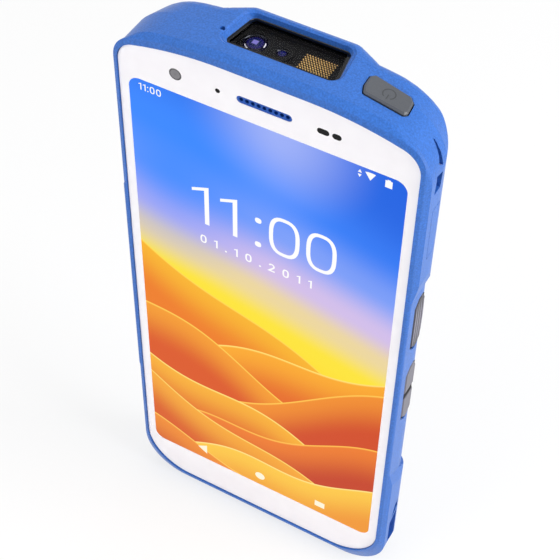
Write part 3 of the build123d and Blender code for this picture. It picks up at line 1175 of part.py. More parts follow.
with BuildPart() as dock_insert:
    extrude(dock_plan(Plane.XY), amount=DOCK_THICKNESS)
    extrude(usb_plan(Plane.XY, -DOCK_GAP), amount=DOCK_THICKNESS, mode=Mode.SUBTRACT)
    with BuildSketch(Plane.XY):
        with Locations([(x, FRONT + CONTACT_DEPTH) for x in CONTACT_OFFSETS]):
            Circle(CONTACT_RADIUS + FIT)
    extrude(amount=DOCK_THICKNESS, mode=Mode.SUBTRACT)
keep(dock_insert, "dock_insert")

with BuildPart() as usb_port:
    port_mouth = Plane.XY.offset(USB_RECESS)
    extrude(usb_plan(port_mouth), amount=USB_LENGTH)
    extrude(usb_plan(port_mouth, USB_WALL), amount=USB_LENGTH - USB_WALL, mode=Mode.SUBTRACT)
    with BuildSketch(port_mouth):
        with Locations((0, FRONT + USB_DEPTH)):
            Rectangle(USB_TONGUE_WIDTH, USB_TONGUE)
    extrude(amount=USB_LENGTH)
keep(usb_port, "usb_port")

with BuildPart() as charge_contacts:
    places = [(x, FRONT + CONTACT_DEPTH) for x in CONTACT_OFFSETS]
    with BuildSketch(Plane.XY.offset(CONTACT_RECESS)):
        with Locations(places):
            Circle(CONTACT_RADIUS)
    extrude(amount=CONTACT_HEAD)
    with BuildSketch(Plane.XY.offset(CONTACT_RECESS)):
        with Locations(places):
            Circle(CONTACT_SHAFT_RADIUS)
    extrude(amount=CONTACT_LENGTH)
keep(charge_contacts, "charge_contacts")
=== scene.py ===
from math import asin, atan2, copysign, cos, hypot, pi, radians, sin, sqrt

import bmesh
import bpy
from mathutils import Matrix, Vector


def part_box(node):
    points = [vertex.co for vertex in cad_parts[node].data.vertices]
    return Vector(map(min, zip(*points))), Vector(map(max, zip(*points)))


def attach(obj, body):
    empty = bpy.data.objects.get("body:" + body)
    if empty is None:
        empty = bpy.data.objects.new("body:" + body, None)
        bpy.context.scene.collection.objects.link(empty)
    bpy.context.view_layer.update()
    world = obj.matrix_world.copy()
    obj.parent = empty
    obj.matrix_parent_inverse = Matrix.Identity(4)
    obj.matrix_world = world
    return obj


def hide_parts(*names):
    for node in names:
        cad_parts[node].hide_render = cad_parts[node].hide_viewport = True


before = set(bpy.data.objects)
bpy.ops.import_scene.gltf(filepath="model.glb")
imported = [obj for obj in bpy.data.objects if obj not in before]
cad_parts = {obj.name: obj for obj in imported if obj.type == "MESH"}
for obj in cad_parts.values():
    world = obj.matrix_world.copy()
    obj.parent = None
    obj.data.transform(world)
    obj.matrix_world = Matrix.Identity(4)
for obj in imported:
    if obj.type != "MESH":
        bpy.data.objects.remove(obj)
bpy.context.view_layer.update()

# Slate-style data terminal with a barcode imager in its top end. It stands on its foot, +Z up its
# length, the display faces -Y. Sizes below are in millimetres until MM turns them to metres.
MM = 0.001
GLASS_FACE = -9.5        # Y of the cover glass
MARK_PROUD = 0.012       # how far printed and lit marks stand off the face they are on
MARK_SINK = 0.05         # and how far they reach into it
JOIN_WITHIN = 1e-4       # corners of a mesh that are closer than this are one

LIT_HALF = 34.1          # half width of the lit part of the display
LIT_FOOT, LIT_TOP = 16.05, 152.35
LIT_HEIGHT = LIT_TOP - LIT_FOOT
LIT_CORNER = 3.0

WINDOW_FACE = 165.6      # top of the scan window
WINDOW_NEAR, WINDOW_FAR = -3.3, 7.1
WINDOW_NEAR_HALF, WINDOW_FAR_HALF = 13.5, 11.8
ENGINE_FACE = 163.6      # top of the scan engine
LENS_FLOOR = 163.25      # bottom of the lens bores
LENS_Y = 1.5
IMAGER_X, IMAGER_RADIUS = -8.4, 3.1
AIMER_X, AIMER_RADIUS = -1.9, 1.45
EMITTER_X, EMITTER_WIDTH, EMITTER_BREADTH = 6.3, 7.7, 6.0

CROWN_FLAT, CROWN_RADIUS = 10.0, 86.9    # half of the top end's straight middle, and its arcs
POWER_X, POWER_Y, POWER_Z, POWER_PROUD = 24.5, -1.4, 166.282, 0.35
POWER_TILT = asin((POWER_X - CROWN_FLAT) / CROWN_RADIUS)
FRONT_ROW_Z = 157.7      # height of the camera and sensors above the display
LIGHT_SENSOR_X, LIGHT_SENSOR_RADIUS = -11.3, 0.6
ROCKER_Z = 78.3          # middle of the volume rocker
FRONT_CAMERA_X = -21.8

# Some nodes have several sockets of one name, so these go by number: the ends of the range that
# comes in and of the range that goes out, and the two colours of a mix.
IN_LOW, IN_HIGH, OUT_LOW, OUT_HIGH = 1, 2, 3, 4
A, B = 6, 7

scene = bpy.context.scene


# --- small tools -----------------------------------------------------------------------------
def linear(colour):
    """Scene-linear colour of an sRGB hex value."""
    channels = [int(colour[i:i + 2], 16) / 255 for i in (1, 3, 5)]
    return (*[c / 12.92 if c <= 0.04045 else ((c + 0.055) / 1.055) ** 2.4 for c in channels], 1.0)


def add_node(tree, kind, sockets=(), **settings):
    """One node with its settings and links.

    Sockets maps an input's name or number to a value, to an output, or to a node, whose first
    output in use is then linked.
    """
    new = tree.nodes.new(kind)
    for name, value in settings.items():
        setattr(new, name, value)
    for key, value in dict(sockets).items():
        if isinstance(value, bpy.types.Node):
            value = next(output for output in value.outputs if output.enabled)
        if isinstance(value, bpy.types.NodeSocket):
            tree.links.new(value, new.inputs[key])
        else:
            new.inputs[key].default_value = value
    return new


def new_finish(name, **shader_values):
    """A material with its tree, its shader and the object's own coordinates in millimetres."""
    finish = bpy.data.materials.new(name)
    finish.use_nodes = True
    tree = finish.node_tree
    shader = tree.nodes["Principled BSDF"]
    for socket, value in shader_values.items():
        shader.inputs[socket.replace("_", " ")].default_value = value
    place = add_node(tree, "ShaderNodeTexCoord").outputs["Object"]
    place = add_node(tree, "ShaderNodeVectorMath", {0: place, 1: [1 / MM] * 3}, operation="MULTIPLY")
    return finish, tree, shader, place.outputs[0]


def drive(tree, shader, **sockets):
    """Link nodes to the shader's sockets."""
    for name, node in sockets.items():
        tree.links.new(next(o for o in node.outputs if o.enabled), shader.inputs[name.replace("_", " ")])


def set_stops(ramp, stops):
    """Give a colour ramp its stops, each a position and a colour."""
    for position, _ in stops[1:-1]:
        ramp.color_ramp.elements.new(position)
    for element, (position, colour) in zip(ramp.color_ramp.elements, stops):
        element.position, element.color = position, linear(colour)


def add_piece(name, mesh, finish, body):
    """A finished mesh as an object at the origin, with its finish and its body."""
    piece = bpy.data.objects.new(name, mesh)
    scene.collection.objects.link(piece)
    mesh.materials.clear()
    mesh.materials.append(finish)
    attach(piece, body)
    return piece


def mesh_of(work, name, place=Matrix.Identity(4), smooth=False):
    """Mesh in metres from work in millimetres, turned and moved by place."""
    bmesh.ops.remove_doubles(work, verts=work.verts, dist=JOIN_WITHIN)
    bmesh.ops.recalc_face_normals(work, faces=work.faces)
    for face in work.faces:
        face.smooth = smooth
    work.transform(Matrix.Scale(MM, 4) @ place)
    mesh = bpy.data.meshes.new(name)
    work.to_mesh(mesh)
    work.free()
    return mesh


# --- moulded finishes --------------------------------------------------------------------------
MOTTLE_SIZE = 9.0        # patches in which a moulding is a little lighter or darker
DULL_BLACK = "#171618"


def moulded(name, colour, roughness, grain, depth, speckle=0.08, mottle=0.03, black_inside=(),
            **shader_values):
    """Injection-moulded plastic from an eroded tool: a fine even grain that scatters the light.

    grain is the size of the texture's bumps and depth their height, both in mm. black_inside holds
    boxes, as their lowest and highest corners, in which the colour is black: black plastic in the scanner's
    well, painted shade on the side caps.
    """
    finish, tree, shader, place = new_finish(name, Roughness=roughness, **shader_values)
    fine = add_node(tree, "ShaderNodeTexNoise", {"Vector": place, "Scale": 1 / grain, "Detail": 2.0,
                                                 "Roughness": 0.6})
    broad = add_node(tree, "ShaderNodeTexNoise", {"Vector": place, "Scale": 1 / MOTTLE_SIZE, "Detail": 2.0})
    light, dark = ([min(c * (1 + sign * speckle), 1.0) for c in linear(colour)[:3]] + [1.0]
                   for sign in (1, -1))
    spread = add_node(tree, "ShaderNodeMapRange", {0: fine, IN_LOW: 0.32, IN_HIGH: 0.68})
    tone = add_node(tree, "ShaderNodeMix", {"Factor": spread, A: dark, B: light}, data_type="RGBA")
    shade = add_node(tree, "ShaderNodeMapRange", {0: broad, IN_LOW: 0.3, IN_HIGH: 0.7, OUT_LOW: 1 - mottle,
                                                  OUT_HIGH: 1 + mottle})
    toned = add_node(tree, "ShaderNodeVectorMath", {0: tone, "Scale": shade}, operation="SCALE")
    parts = add_node(tree, "ShaderNodeSeparateXYZ", {0: place})
    for low, high in black_inside:
        inside = 1.0
        for axis in range(3):
            along = parts.outputs[axis]
            above = add_node(tree, "ShaderNodeMath", {0: along, 1: low[axis]}, operation="GREATER_THAN")
            below = add_node(tree, "ShaderNodeMath", {0: along, 1: high[axis]}, operation="LESS_THAN")
            within = add_node(tree, "ShaderNodeMath", {0: above, 1: below}, operation="MULTIPLY")
            inside = add_node(tree, "ShaderNodeMath", {0: inside, 1: within}, operation="MULTIPLY")
        toned = add_node(tree, "ShaderNodeMix", {"Factor": inside, A: toned, B: linear(DULL_BLACK)},
                         data_type="RGBA")
    bump = add_node(tree, "ShaderNodeBump", {"Height": fine, "Distance": depth * MM, "Strength": 1.0})
    drive(tree, shader, Base_Color=toned, Normal=bump)
    return finish


# The well under the scan window is sprayed dull black, so that stray light doesn't reach the imager.
LIGHT_TRAP = (-13.7, WINDOW_NEAR - 0.1, 150.0), (13.7, WINDOW_FAR + 0.1, WINDOW_FACE - 0.35)
# Polycarbonate blend with a spark-eroded skin: satin-matte, with a sparkle of lighter grains. The
# real grain is about 0.15 mm and is drawn at 0.42 so that it shows.
case_blue = moulded("polycarbonate_blue_eroded", "#3068BC", 0.50, 0.42, 0.050, speckle=0.19,
                    black_inside=[LIGHT_TRAP], Specular_IOR_Level=0.3, Sheen_Weight=0.25,
                    Sheen_Roughness=0.35)
# The same plastic seen in small parts, where the grain is finer.
grille_blue = moulded("polycarbonate_blue_fine", "#1F54AE", 0.40, 0.25, 0.008, speckle=0.05,
                      Specular_IOR_Level=0.2)
# Buttons are moulded ABS with a fine matte skin, slightly cool grey.
button_grey = moulded("abs_grey_matte", "#505359", 0.36, 0.3, 0.010, speckle=0.06,
                      Specular_IOR_Level=0.35)
# The caps on the long sides are the same plastic with a warmer pigment. All of a cap below its crown is
# painted black as the shade of its side walls, and the rocker has a black strip of painted shade at the
# notch between its halves.
SIDE_SHADE_DEPTH = 0.42       # how far below the crown of a cap the painted shade begins
NOTCH_SHADE_HALF = 1.1
BEYOND = 200             # past every piece
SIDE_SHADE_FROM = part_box("right_trigger")[1].x / MM - SIDE_SHADE_DEPTH
# boxes of painted shade: every cap below its crown, and a strip across the rocker's notch
SIDE_SHADE_BOX = (-SIDE_SHADE_FROM, -BEYOND, -BEYOND), (SIDE_SHADE_FROM, BEYOND, BEYOND)
NOTCH_SHADE_BOX = ((0, -BEYOND, ROCKER_Z - NOTCH_SHADE_HALF),
               (BEYOND, BEYOND, ROCKER_Z + NOTCH_SHADE_HALF))
trigger_grey_painted_shade = moulded("abs_grey_warm", "#3E3C45", 0.42, 0.3, 0.010, speckle=0.06, black_inside=[SIDE_SHADE_BOX],
                       Specular_IOR_Level=0.35)
rocker_grey_painted_shade = moulded("abs_grey_warm_painted_notch_shade", "#6A6873", 0.42, 0.3, 0.010, speckle=0.06,
                      black_inside=[SIDE_SHADE_BOX, NOTCH_SHADE_BOX], Specular_IOR_Level=0.35)
# Ribs on the caps: the same plastic, a little smoother, painted far paler than the cap as a highlight along
# each rib.
rib_grey_painted_highlight = moulded("abs_grey_warm_painted_highlight", "#918F9D", 0.34, 0.3, 0.006, speckle=0.04,
                   Specular_IOR_Level=0.4)
# Glass-filled nylon inside the scanner and round small parts: near black, dull.
nylon_black = moulded("nylon_black_moulded", "#121214", 0.5, 0.2, 0.006, speckle=0.1,
                      Specular_IOR_Level=0.12)


def plain(name, colour, roughness, metallic=0.0, patch=2.0, change=0.12, **shader_values):
    """Finish of a part with no texture of its own, whose gloss varies in patches of a size in mm."""
    finish, tree, shader, place = new_finish(name, Metallic=metallic, **shader_values)
    cloud = add_node(tree, "ShaderNodeTexNoise", {"Vector": place, "Scale": 1 / patch, "Detail": 3.0})
    rough = add_node(tree, "ShaderNodeMapRange", {0: cloud, IN_LOW: 0.3, IN_HIGH: 0.7,
                                                  OUT_LOW: roughness * (1 - change),
                                                  OUT_HIGH: roughness * (1 + change)})
    dark = [c * (1 - change / 2) for c in linear(colour)[:3]] + [1.0]
    tone = add_node(tree, "ShaderNodeMix", {"Factor": cloud, A: dark, B: linear(colour)}, data_type="RGBA")
    drive(tree, shader, Roughness=rough, Base_Color=tone)
    return finish


# Gold over nickel: warm, softly polished.
gold_plate = plain("gold_plated_nickel", "#EDC47C", 0.45, metallic=1.0, patch=0.4)
# Drawn stainless steel, a little dull from the die.
steel_drawn = plain("stainless_steel_drawn", "#B4B6BA", 0.32, metallic=1.0, patch=1.0)
# Magnesium plate as it leaves the die: pale grey, cloudy.
magnesium_cast = plain("magnesium_die_cast", "#9EA0A2", 0.48, metallic=1.0, patch=3.0, change=0.2)
# Glass-epoxy board under a satin green solder mask.
board_green = plain("epoxy_board_green_mask", "#14502F", 0.35, patch=1.5)
# Polyimide film: amber, smooth.
film_amber = plain("polyimide_film_amber", "#A8641E", 0.25, patch=4.0)
# Closed-cell acrylic foam tape: black and dull.
foam_black = plain("acrylic_foam_black", "#101012", 0.85, patch=0.5)
# Smoked glass windows: near black, polished.
smoked_glass = plain("glass_smoked", "#0B0B0E", 0.06, patch=6.0, Specular_IOR_Level=0.15)
# Silicone diffuser over the flash diode: pale yellow, hazy.
diffuser_yellow = plain("silicone_diffuser_yellow", "#EFE7B4", 0.30, patch=0.8, Coat_Weight=0.5)
# Anodised aluminium of the rings that hold the lenses: dark, with a thin line of light on the bevel.
rim_anodised = plain("aluminium_anodised_dark", "#3A3C42", 0.28, metallic=1.0, patch=1.0)

# --- lens and window glass ---------------------------------------------------------------------
# Light painted into the lenses' colour: two highlight arcs near the edge, a pale square in the middle as the
# sensor's reflection, and a violet ring as the coating's reflection.
PAINTED_GLINTS = radians(-129), radians(11)      # bearings of the two painted highlight arcs on a lens
PAINTED_GLINT_HALF = radians(19)                 # half the length of each
# shares of a lens's radius: how far out the painted highlight arcs lie, half their width, half the pale
# square painted as the sensor's reflection and where its edge has faded
PAINTED_GLINT_REACH, PAINTED_GLINT_HALF_WIDTH = 0.72, 0.04
SENSOR_REFLECTION_HALF, SENSOR_REFLECTION_FADE = 0.17, 0.24


def coated_lens(name, x, radius, sensor_reflection_colour, painted_glint_colour):
    """Optical glass in a black barrel: blue in its middle, navy further out, a violet ring painted as the
    coating's reflection, a pale square painted as the sensor's reflection, and two painted highlight arcs."""
    finish, tree, shader, place = new_finish(name, Roughness=0.05, Specular_IOR_Level=0.12)
    parts = add_node(tree, "ShaderNodeSeparateXYZ", {0: place})
    gone = [add_node(tree, "ShaderNodeMath", {0: parts.outputs[axis], 1: middle}, operation="SUBTRACT")
            for axis, middle in ((0, x), (1, LENS_Y))]
    flat = add_node(tree, "ShaderNodeCombineXYZ", {0: gone[0], 1: gone[1]})
    reach = add_node(tree, "ShaderNodeVectorMath", {0: flat}, operation="LENGTH").outputs["Value"]
    reach = add_node(tree, "ShaderNodeMath", {0: reach, 1: radius}, operation="DIVIDE")
    rings = add_node(tree, "ShaderNodeValToRGB", {0: reach})
    set_stops(rings, ((0.0, "#0C2E5C"), (0.36, "#0B1C50"), (0.52, "#1C1668"), (0.66, "#08091E"),
                      (0.80, "#0E0C2C"), (0.95, "#040407")))
    edges = [add_node(tree, "ShaderNodeMath", {0: side}, operation="ABSOLUTE") for side in gone]
    edge = add_node(tree, "ShaderNodeMath", {0: edges[0], 1: edges[1]}, operation="MAXIMUM")
    sensor_reflection = add_node(tree, "ShaderNodeMapRange", {0: edge, IN_LOW: SENSOR_REFLECTION_HALF * radius,
                                                   IN_HIGH: SENSOR_REFLECTION_FADE * radius,
                                                   OUT_LOW: 1.0, OUT_HIGH: 0.0})
    tone = add_node(tree, "ShaderNodeMix", {"Factor": sensor_reflection, A: rings, B: linear(sensor_reflection_colour)},
                    data_type="RGBA")
    bearing = add_node(tree, "ShaderNodeMath", {0: gone[1], 1: gone[0]}, operation="ARCTAN2")
    band = add_node(tree, "ShaderNodeMath", {0: reach, 1: PAINTED_GLINT_REACH, 2: PAINTED_GLINT_HALF_WIDTH},
                    operation="COMPARE")
    for middle in PAINTED_GLINTS:
        near = add_node(tree, "ShaderNodeMath", {0: bearing, 1: middle, 2: PAINTED_GLINT_HALF},
                        operation="COMPARE")
        painted_glint = add_node(tree, "ShaderNodeMath", {0: near, 1: band}, operation="MULTIPLY")
        tone = add_node(tree, "ShaderNodeMix", {"Factor": painted_glint, A: tone, B: linear(painted_glint_colour)},
                        data_type="RGBA")
    drive(tree, shader, Base_Color=tone)
    return finish


# the imager's painted highlights are near white, the aimer's nearly as dark as its glass
imager_glass = coated_lens("optical_glass_imager", IMAGER_X, IMAGER_RADIUS, "#8C84DA", "#F4F2FF")
aimer_glass = coated_lens("optical_glass_aimer", AIMER_X, AIMER_RADIUS, "#2C2870", "#24223A")

# Scan window: clear anti-reflex glass with a black ceramic ink border fired round its edge.
INK_BORDER = 0.75
INK_CORNER = 0.8         # how far the border's inner corners are eased
PRINT_FADE = 0.05        # half the width over which a printed edge fades
CLEAR = 0.08             # how much of the clear glass shows
window_glass, tree, shader, place = new_finish("glass_anti_reflex_ink_border", Roughness=0.05,
                                               Specular_IOR_Level=0.3, Base_Color=linear("#08080A"))
parts = add_node(tree, "ShaderNodeSeparateXYZ", {0: place})
taper = (WINDOW_NEAR_HALF - WINDOW_FAR_HALF) / (WINDOW_FAR - WINDOW_NEAR)
half = add_node(tree, "ShaderNodeMath", {0: parts.outputs[1], 1: -taper,
                                         2: WINDOW_NEAR_HALF + taper * WINDOW_NEAR},
                operation="MULTIPLY_ADD")
side = add_node(tree, "ShaderNodeMath", {0: parts.outputs[0]}, operation="ABSOLUTE")
side = add_node(tree, "ShaderNodeMath", {0: side, 1: half}, operation="SUBTRACT")
middle = (WINDOW_NEAR + WINDOW_FAR) / 2
ends = add_node(tree, "ShaderNodeMath", {0: parts.outputs[1], 1: middle}, operation="SUBTRACT")
ends = add_node(tree, "ShaderNodeMath", {0: ends}, operation="ABSOLUTE")
ends = add_node(tree, "ShaderNodeMath", {0: ends, 1: WINDOW_FAR - middle}, operation="SUBTRACT")
out = add_node(tree, "ShaderNodeMath", {0: side, 1: ends, 2: INK_CORNER}, operation="SMOOTH_MAX")
ink = add_node(tree, "ShaderNodeMapRange", {0: out, IN_LOW: -INK_BORDER - PRINT_FADE,
                                            IN_HIGH: -INK_BORDER + PRINT_FADE,
                                            OUT_LOW: CLEAR, OUT_HIGH: 1.0})
drive(tree, shader, Alpha=ink)

# Front camera: grey filter under the glass, with a thin darker ring of print round it.
camera_filter, tree, shader, place = new_finish("glass_filter_grey", Roughness=0.15, Specular_IOR_Level=0.4)
gone = add_node(tree, "ShaderNodeVectorMath", {0: place, 1: (FRONT_CAMERA_X, GLASS_FACE, FRONT_ROW_Z)},
                operation="DISTANCE").outputs["Value"]
rings = add_node(tree, "ShaderNodeValToRGB", {0: gone})
set_stops(rings, ((0.0, "#6A686C"), (0.25, "#77757A"), (0.98, "#7C7A7E")))
FILTER_RADIUS, RING_FADE_END = 1.12, 1.3
ring = add_node(tree, "ShaderNodeMapRange", {0: gone, IN_LOW: FILTER_RADIUS, IN_HIGH: RING_FADE_END})
tone = add_node(tree, "ShaderNodeMix", {"Factor": ring, A: rings, B: linear("#4A484C")},
                data_type="RGBA")
drive(tree, shader, Base_Color=tone)

FINISHES = {
    case_blue: "main_housing battery_cover card_tray",
    grille_blue: "earpiece_grille",
    button_grey: "power_button",
    rocker_grey_painted_shade: "volume_rocker",
    trigger_grey_painted_shade: "right_trigger left_trigger",
    nylon_black: "scan_window_frame scan_engine illumination_array earpiece_speaker front_camera "
                 "right_latch left_latch right_trigger_switch left_trigger_switch volume_switches "
                 "power_switch battery_cell battery_contacts loudspeaker dock_insert rear_camera",
    steel_drawn: "board_screws card_socket chassis_screws engine_bracket shield_cans usb_port "
                 "vibration_motor volume_pin",
    gold_plate: "charge_contacts",
    magnesium_cast: "chassis_plate",
    board_green: "main_board sub_board",
    film_amber: "link_flex",
    foam_black: "display_gasket",
    smoked_glass: "sensor_windows rear_camera_window display_module",
    diffuser_yellow: "flash_light",
    window_glass: "scan_window",
    camera_filter: "front_camera_window",
    imager_glass: "imager_lens",
    aimer_glass: "aimer_lens",
}

# --- cover glass: white print, and the lit picture in its window -----------------------------------
printed_glass, tree, shader, place = new_finish("glass_white_print", Roughness=0.14, Specular_IOR_Level=0.12)
split = add_node(tree, "ShaderNodeSeparateXYZ", {0: place})
across, up = split.outputs[0], split.outputs[2]

# sky of the picture, from the sand up, its bands a little lower on the right
SKY_LEAN = 0.0016
level = add_node(tree, "ShaderNodeMath", {0: up, 1: 1 / LIT_HEIGHT, 2: -LIT_FOOT / LIT_HEIGHT},
                 operation="MULTIPLY_ADD")
leaning = add_node(tree, "ShaderNodeMath", {0: across, 1: SKY_LEAN, 2: level}, operation="MULTIPLY_ADD")
picture = add_node(tree, "ShaderNodeValToRGB", {0: leaning})
set_stops(picture, ((0.30, "#F6951A"), (0.40, "#FFD400"), (0.53, "#FBE22E"), (0.61, "#EAD49C"),
                    (0.68, "#D0BCE8"), (0.78, "#7C9EF8"), (0.88, "#3886FF"), (1.0, "#2872EC")))
picture.color_ramp.interpolation = "EASE"

# a deep blue corner and two soft veils of light: centre, reach, colour, strength
VEILS = (38, 150, 44, "#0F5FE0", 0.95), (4, 152, 26, "#C2CCFF", 0.6), (-24, 128, 36, "#2F86FF", 0.85)
for x, z, reach, colour, strength in VEILS:
    gone = add_node(tree, "ShaderNodeVectorMath", {0: place, 1: (x, GLASS_FACE, z)}, operation="DISTANCE")
    veil = add_node(tree, "ShaderNodeMapRange", {0: gone.outputs["Value"], IN_LOW: 0, IN_HIGH: reach,
                                                 OUT_LOW: strength, OUT_HIGH: 0.0},
                    interpolation_type="SMOOTHSTEP")
    picture = add_node(tree, "ShaderNodeMix", {"Factor": veil, A: picture, B: linear(colour)},
                       data_type="RGBA")

# ridges of sand, the furthest first: height of the crest, slope, swell, its length, its start, colours
RIDGES = (
    (84, -0.52, 3.0, 74, 0.6, "#FFD84A", "#F7B21C", "#EC7A0C"),
    (73, 0.40, 3.5, 66, 2.2, "#FFE070", "#F9A81E", "#E4680C"),
    (64, -0.36, 3.0, 58, 3.6, "#FFD050", "#F39A20", "#DA540C"),
    (58, 0.52, 4.0, 71, 5.0, "#FFC94C", "#F08C1E", "#D0460E"),
    (47, -0.30, 3.4, 62, 1.2, "#FFE37A", "#F6AE2A", "#DE5E0E"),
    (42, 0.34, 3.0, 55, 4.1, "#FFC24A", "#EC7A1E", "#C43C10"),
    (33, -0.42, 3.2, 66, 0.2, "#FFD768", "#F4A62C", "#D85A10"),
    (27, 0.26, 2.6, 50, 2.8, "#FFE588", "#FAC63E", "#EE9424"),
    (17, -0.24, 2.2, 58, 5.4, "#FFCB58", "#EE8A24", "#CA4610"),
)
# depths below the crest over which the slope darkens, the lit rim fades out and the ridge fades in,
# and the strength that each starts with
RIDGE_FADES = (0, 17, 0), (0.15, 0.9, 1), (-0.1, 0.1, 0)
for height, slope, swell, length, start, rim, crest, foot in RIDGES:
    line = add_node(tree, "ShaderNodeMath", {0: across, 1: slope, 2: height}, operation="MULTIPLY_ADD")
    turn = add_node(tree, "ShaderNodeMath", {0: across, 1: 2 * pi / length, 2: start},
                    operation="MULTIPLY_ADD")
    swing = add_node(tree, "ShaderNodeMath", {0: turn}, operation="SINE")
    top = add_node(tree, "ShaderNodeMath", {0: swing, 1: swell, 2: line}, operation="MULTIPLY_ADD")
    under = add_node(tree, "ShaderNodeMath", {0: top, 1: up}, operation="SUBTRACT")
    fades = [add_node(tree, "ShaderNodeMapRange", {0: under, IN_LOW: first, IN_HIGH: last,
                                                   OUT_LOW: low, OUT_HIGH: 1 - low},
                      interpolation_type="SMOOTHSTEP")
             for first, last, low in RIDGE_FADES]
    body = add_node(tree, "ShaderNodeMix", {"Factor": fades[0], A: linear(crest), B: linear(foot)},
                    data_type="RGBA")
    body = add_node(tree, "ShaderNodeMix", {"Factor": fades[1], A: body, B: linear(rim)}, data_type="RGBA")
    picture = add_node(tree, "ShaderNodeMix", {"Factor": fades[2], A: picture, B: body}, data_type="RGBA")

# rounded window of the display: distance from a rectangle that is smaller by the corner radius
spans = []
for along, middle, reach in ((across, 0.0, LIT_HALF), (up, (LIT_TOP + LIT_FOOT) / 2, LIT_HEIGHT / 2)):
    off = add_node(tree, "ShaderNodeMath", {0: along, 1: middle}, operation="SUBTRACT")
    off = add_node(tree, "ShaderNodeMath", {0: off}, operation="ABSOLUTE")
    off = add_node(tree, "ShaderNodeMath", {0: off, 1: reach - LIT_CORNER}, operation="SUBTRACT")
    spans.append(add_node(tree, "ShaderNodeMath", {0: off, 1: 0.0}, operation="MAXIMUM"))
outside = add_node(tree, "ShaderNodeCombineXYZ", {0: spans[0], 1: spans[1]})
outside = add_node(tree, "ShaderNodeVectorMath", {0: outside}, operation="LENGTH").outputs["Value"]
lit = add_node(tree, "ShaderNodeMapRange", {0: outside, IN_LOW: LIT_CORNER - PRINT_FADE,
                                            IN_HIGH: LIT_CORNER + PRINT_FADE, OUT_LOW: 1.0, OUT_HIGH: 0.0})
print_mottle = add_node(tree, "ShaderNodeTexNoise", {"Vector": place, "Scale": 0.2, "Detail": 1.0})
white = add_node(tree, "ShaderNodeMix", {"Factor": print_mottle, A: linear("#F6F3F7"), B: linear("#FBF9FC")},
                 data_type="RGBA")
face = add_node(tree, "ShaderNodeMix", {"Factor": lit, A: white, B: linear("#050608")}, data_type="RGBA")
gone = add_node(tree, "ShaderNodeVectorMath", {0: place, 1: (LIGHT_SENSOR_X, GLASS_FACE, FRONT_ROW_Z)},
                operation="DISTANCE")
unprinted = add_node(tree, "ShaderNodeMath", {0: gone.outputs["Value"], 1: LIGHT_SENSOR_RADIUS},
                     operation="LESS_THAN")
face = add_node(tree, "ShaderNodeMix", {"Factor": unprinted, A: face, B: linear("#111113")},
                data_type="RGBA")
glow = add_node(tree, "ShaderNodeMix", {"Factor": lit, A: linear("#000000"), B: picture},
                data_type="RGBA")
drive(tree, shader, Base_Color=face, Emission_Color=glow)
shader.inputs["Emission Strength"].default_value = 1.0
FINISHES[printed_glass] = "cover_glass"

for finish, names in FINISHES.items():
    for name in names.split():
        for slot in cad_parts[name].material_slots:
            slot.material = finish

# --- lit marks on the display ------------------------------------------------------------------------
MITRE_LIMIT = 0.35       # keeps the point of a sharp corner short


def ribbon(work, points, width, closed=False):
    """Flat band of one width along points in X and Z, with mitred corners."""
    count = len(points)
    rails = []
    for index in range(count):
        here = Vector(points[index])
        before = Vector(points[index - 1]) if closed or index else None
        after = Vector(points[(index + 1) % count]) if closed or index < count - 1 else None
        into = (here - before).normalized() if before is not None else (after - here).normalized()
        away = (after - here).normalized() if after is not None else into
        bend = (into + away).normalized()
        reach = width / 2 / max(bend.dot(into), MITRE_LIMIT)
        normal = Vector((-bend.y, bend.x)) * reach
        rails.append([work.verts.new((point.x, 0, point.y)) for point in (here - normal, here + normal)])
    for index in range(count if closed else count - 1):
        start, end = rails[index], rails[(index + 1) % count]
        work.faces.new((start[0], end[0], end[1], start[1]))


def plate(work, points):
    """Flat patch with an outline in X and Z."""
    work.faces.new([work.verts.new((x, 0, z)) for x, z in points])


def round_loop(x, z, half_width, half_height, squareness=1.0, steps=32):
    """Points of an oval, squarer the lower squareness is."""
    loop = []
    for index in range(steps):
        angle = 2 * pi * index / steps
        loop.append((x + copysign(abs(cos(angle)) ** squareness, cos(angle)) * half_width,
                     z + copysign(abs(sin(angle)) ** squareness, sin(angle)) * half_height))
    return loop


FIGURE_WIDTH, ONE_WIDTH, FIGURE_GAP = 0.63, 0.36, 0.16    # shares of the figures' height
FLAG_SLOPE, FLAG_WIDTH = 0.41, 0.8      # fall of the one's flag, and its width as a share of the stroke
NOUGHT_SHAPE, DOT_SHAPE = 0.72, 0.8     # squareness
DOT_RADIUS = 0.62                       # share of the stroke
COLON_RISE = 0.7                        # height of the upper dot, as a share of the figures' height


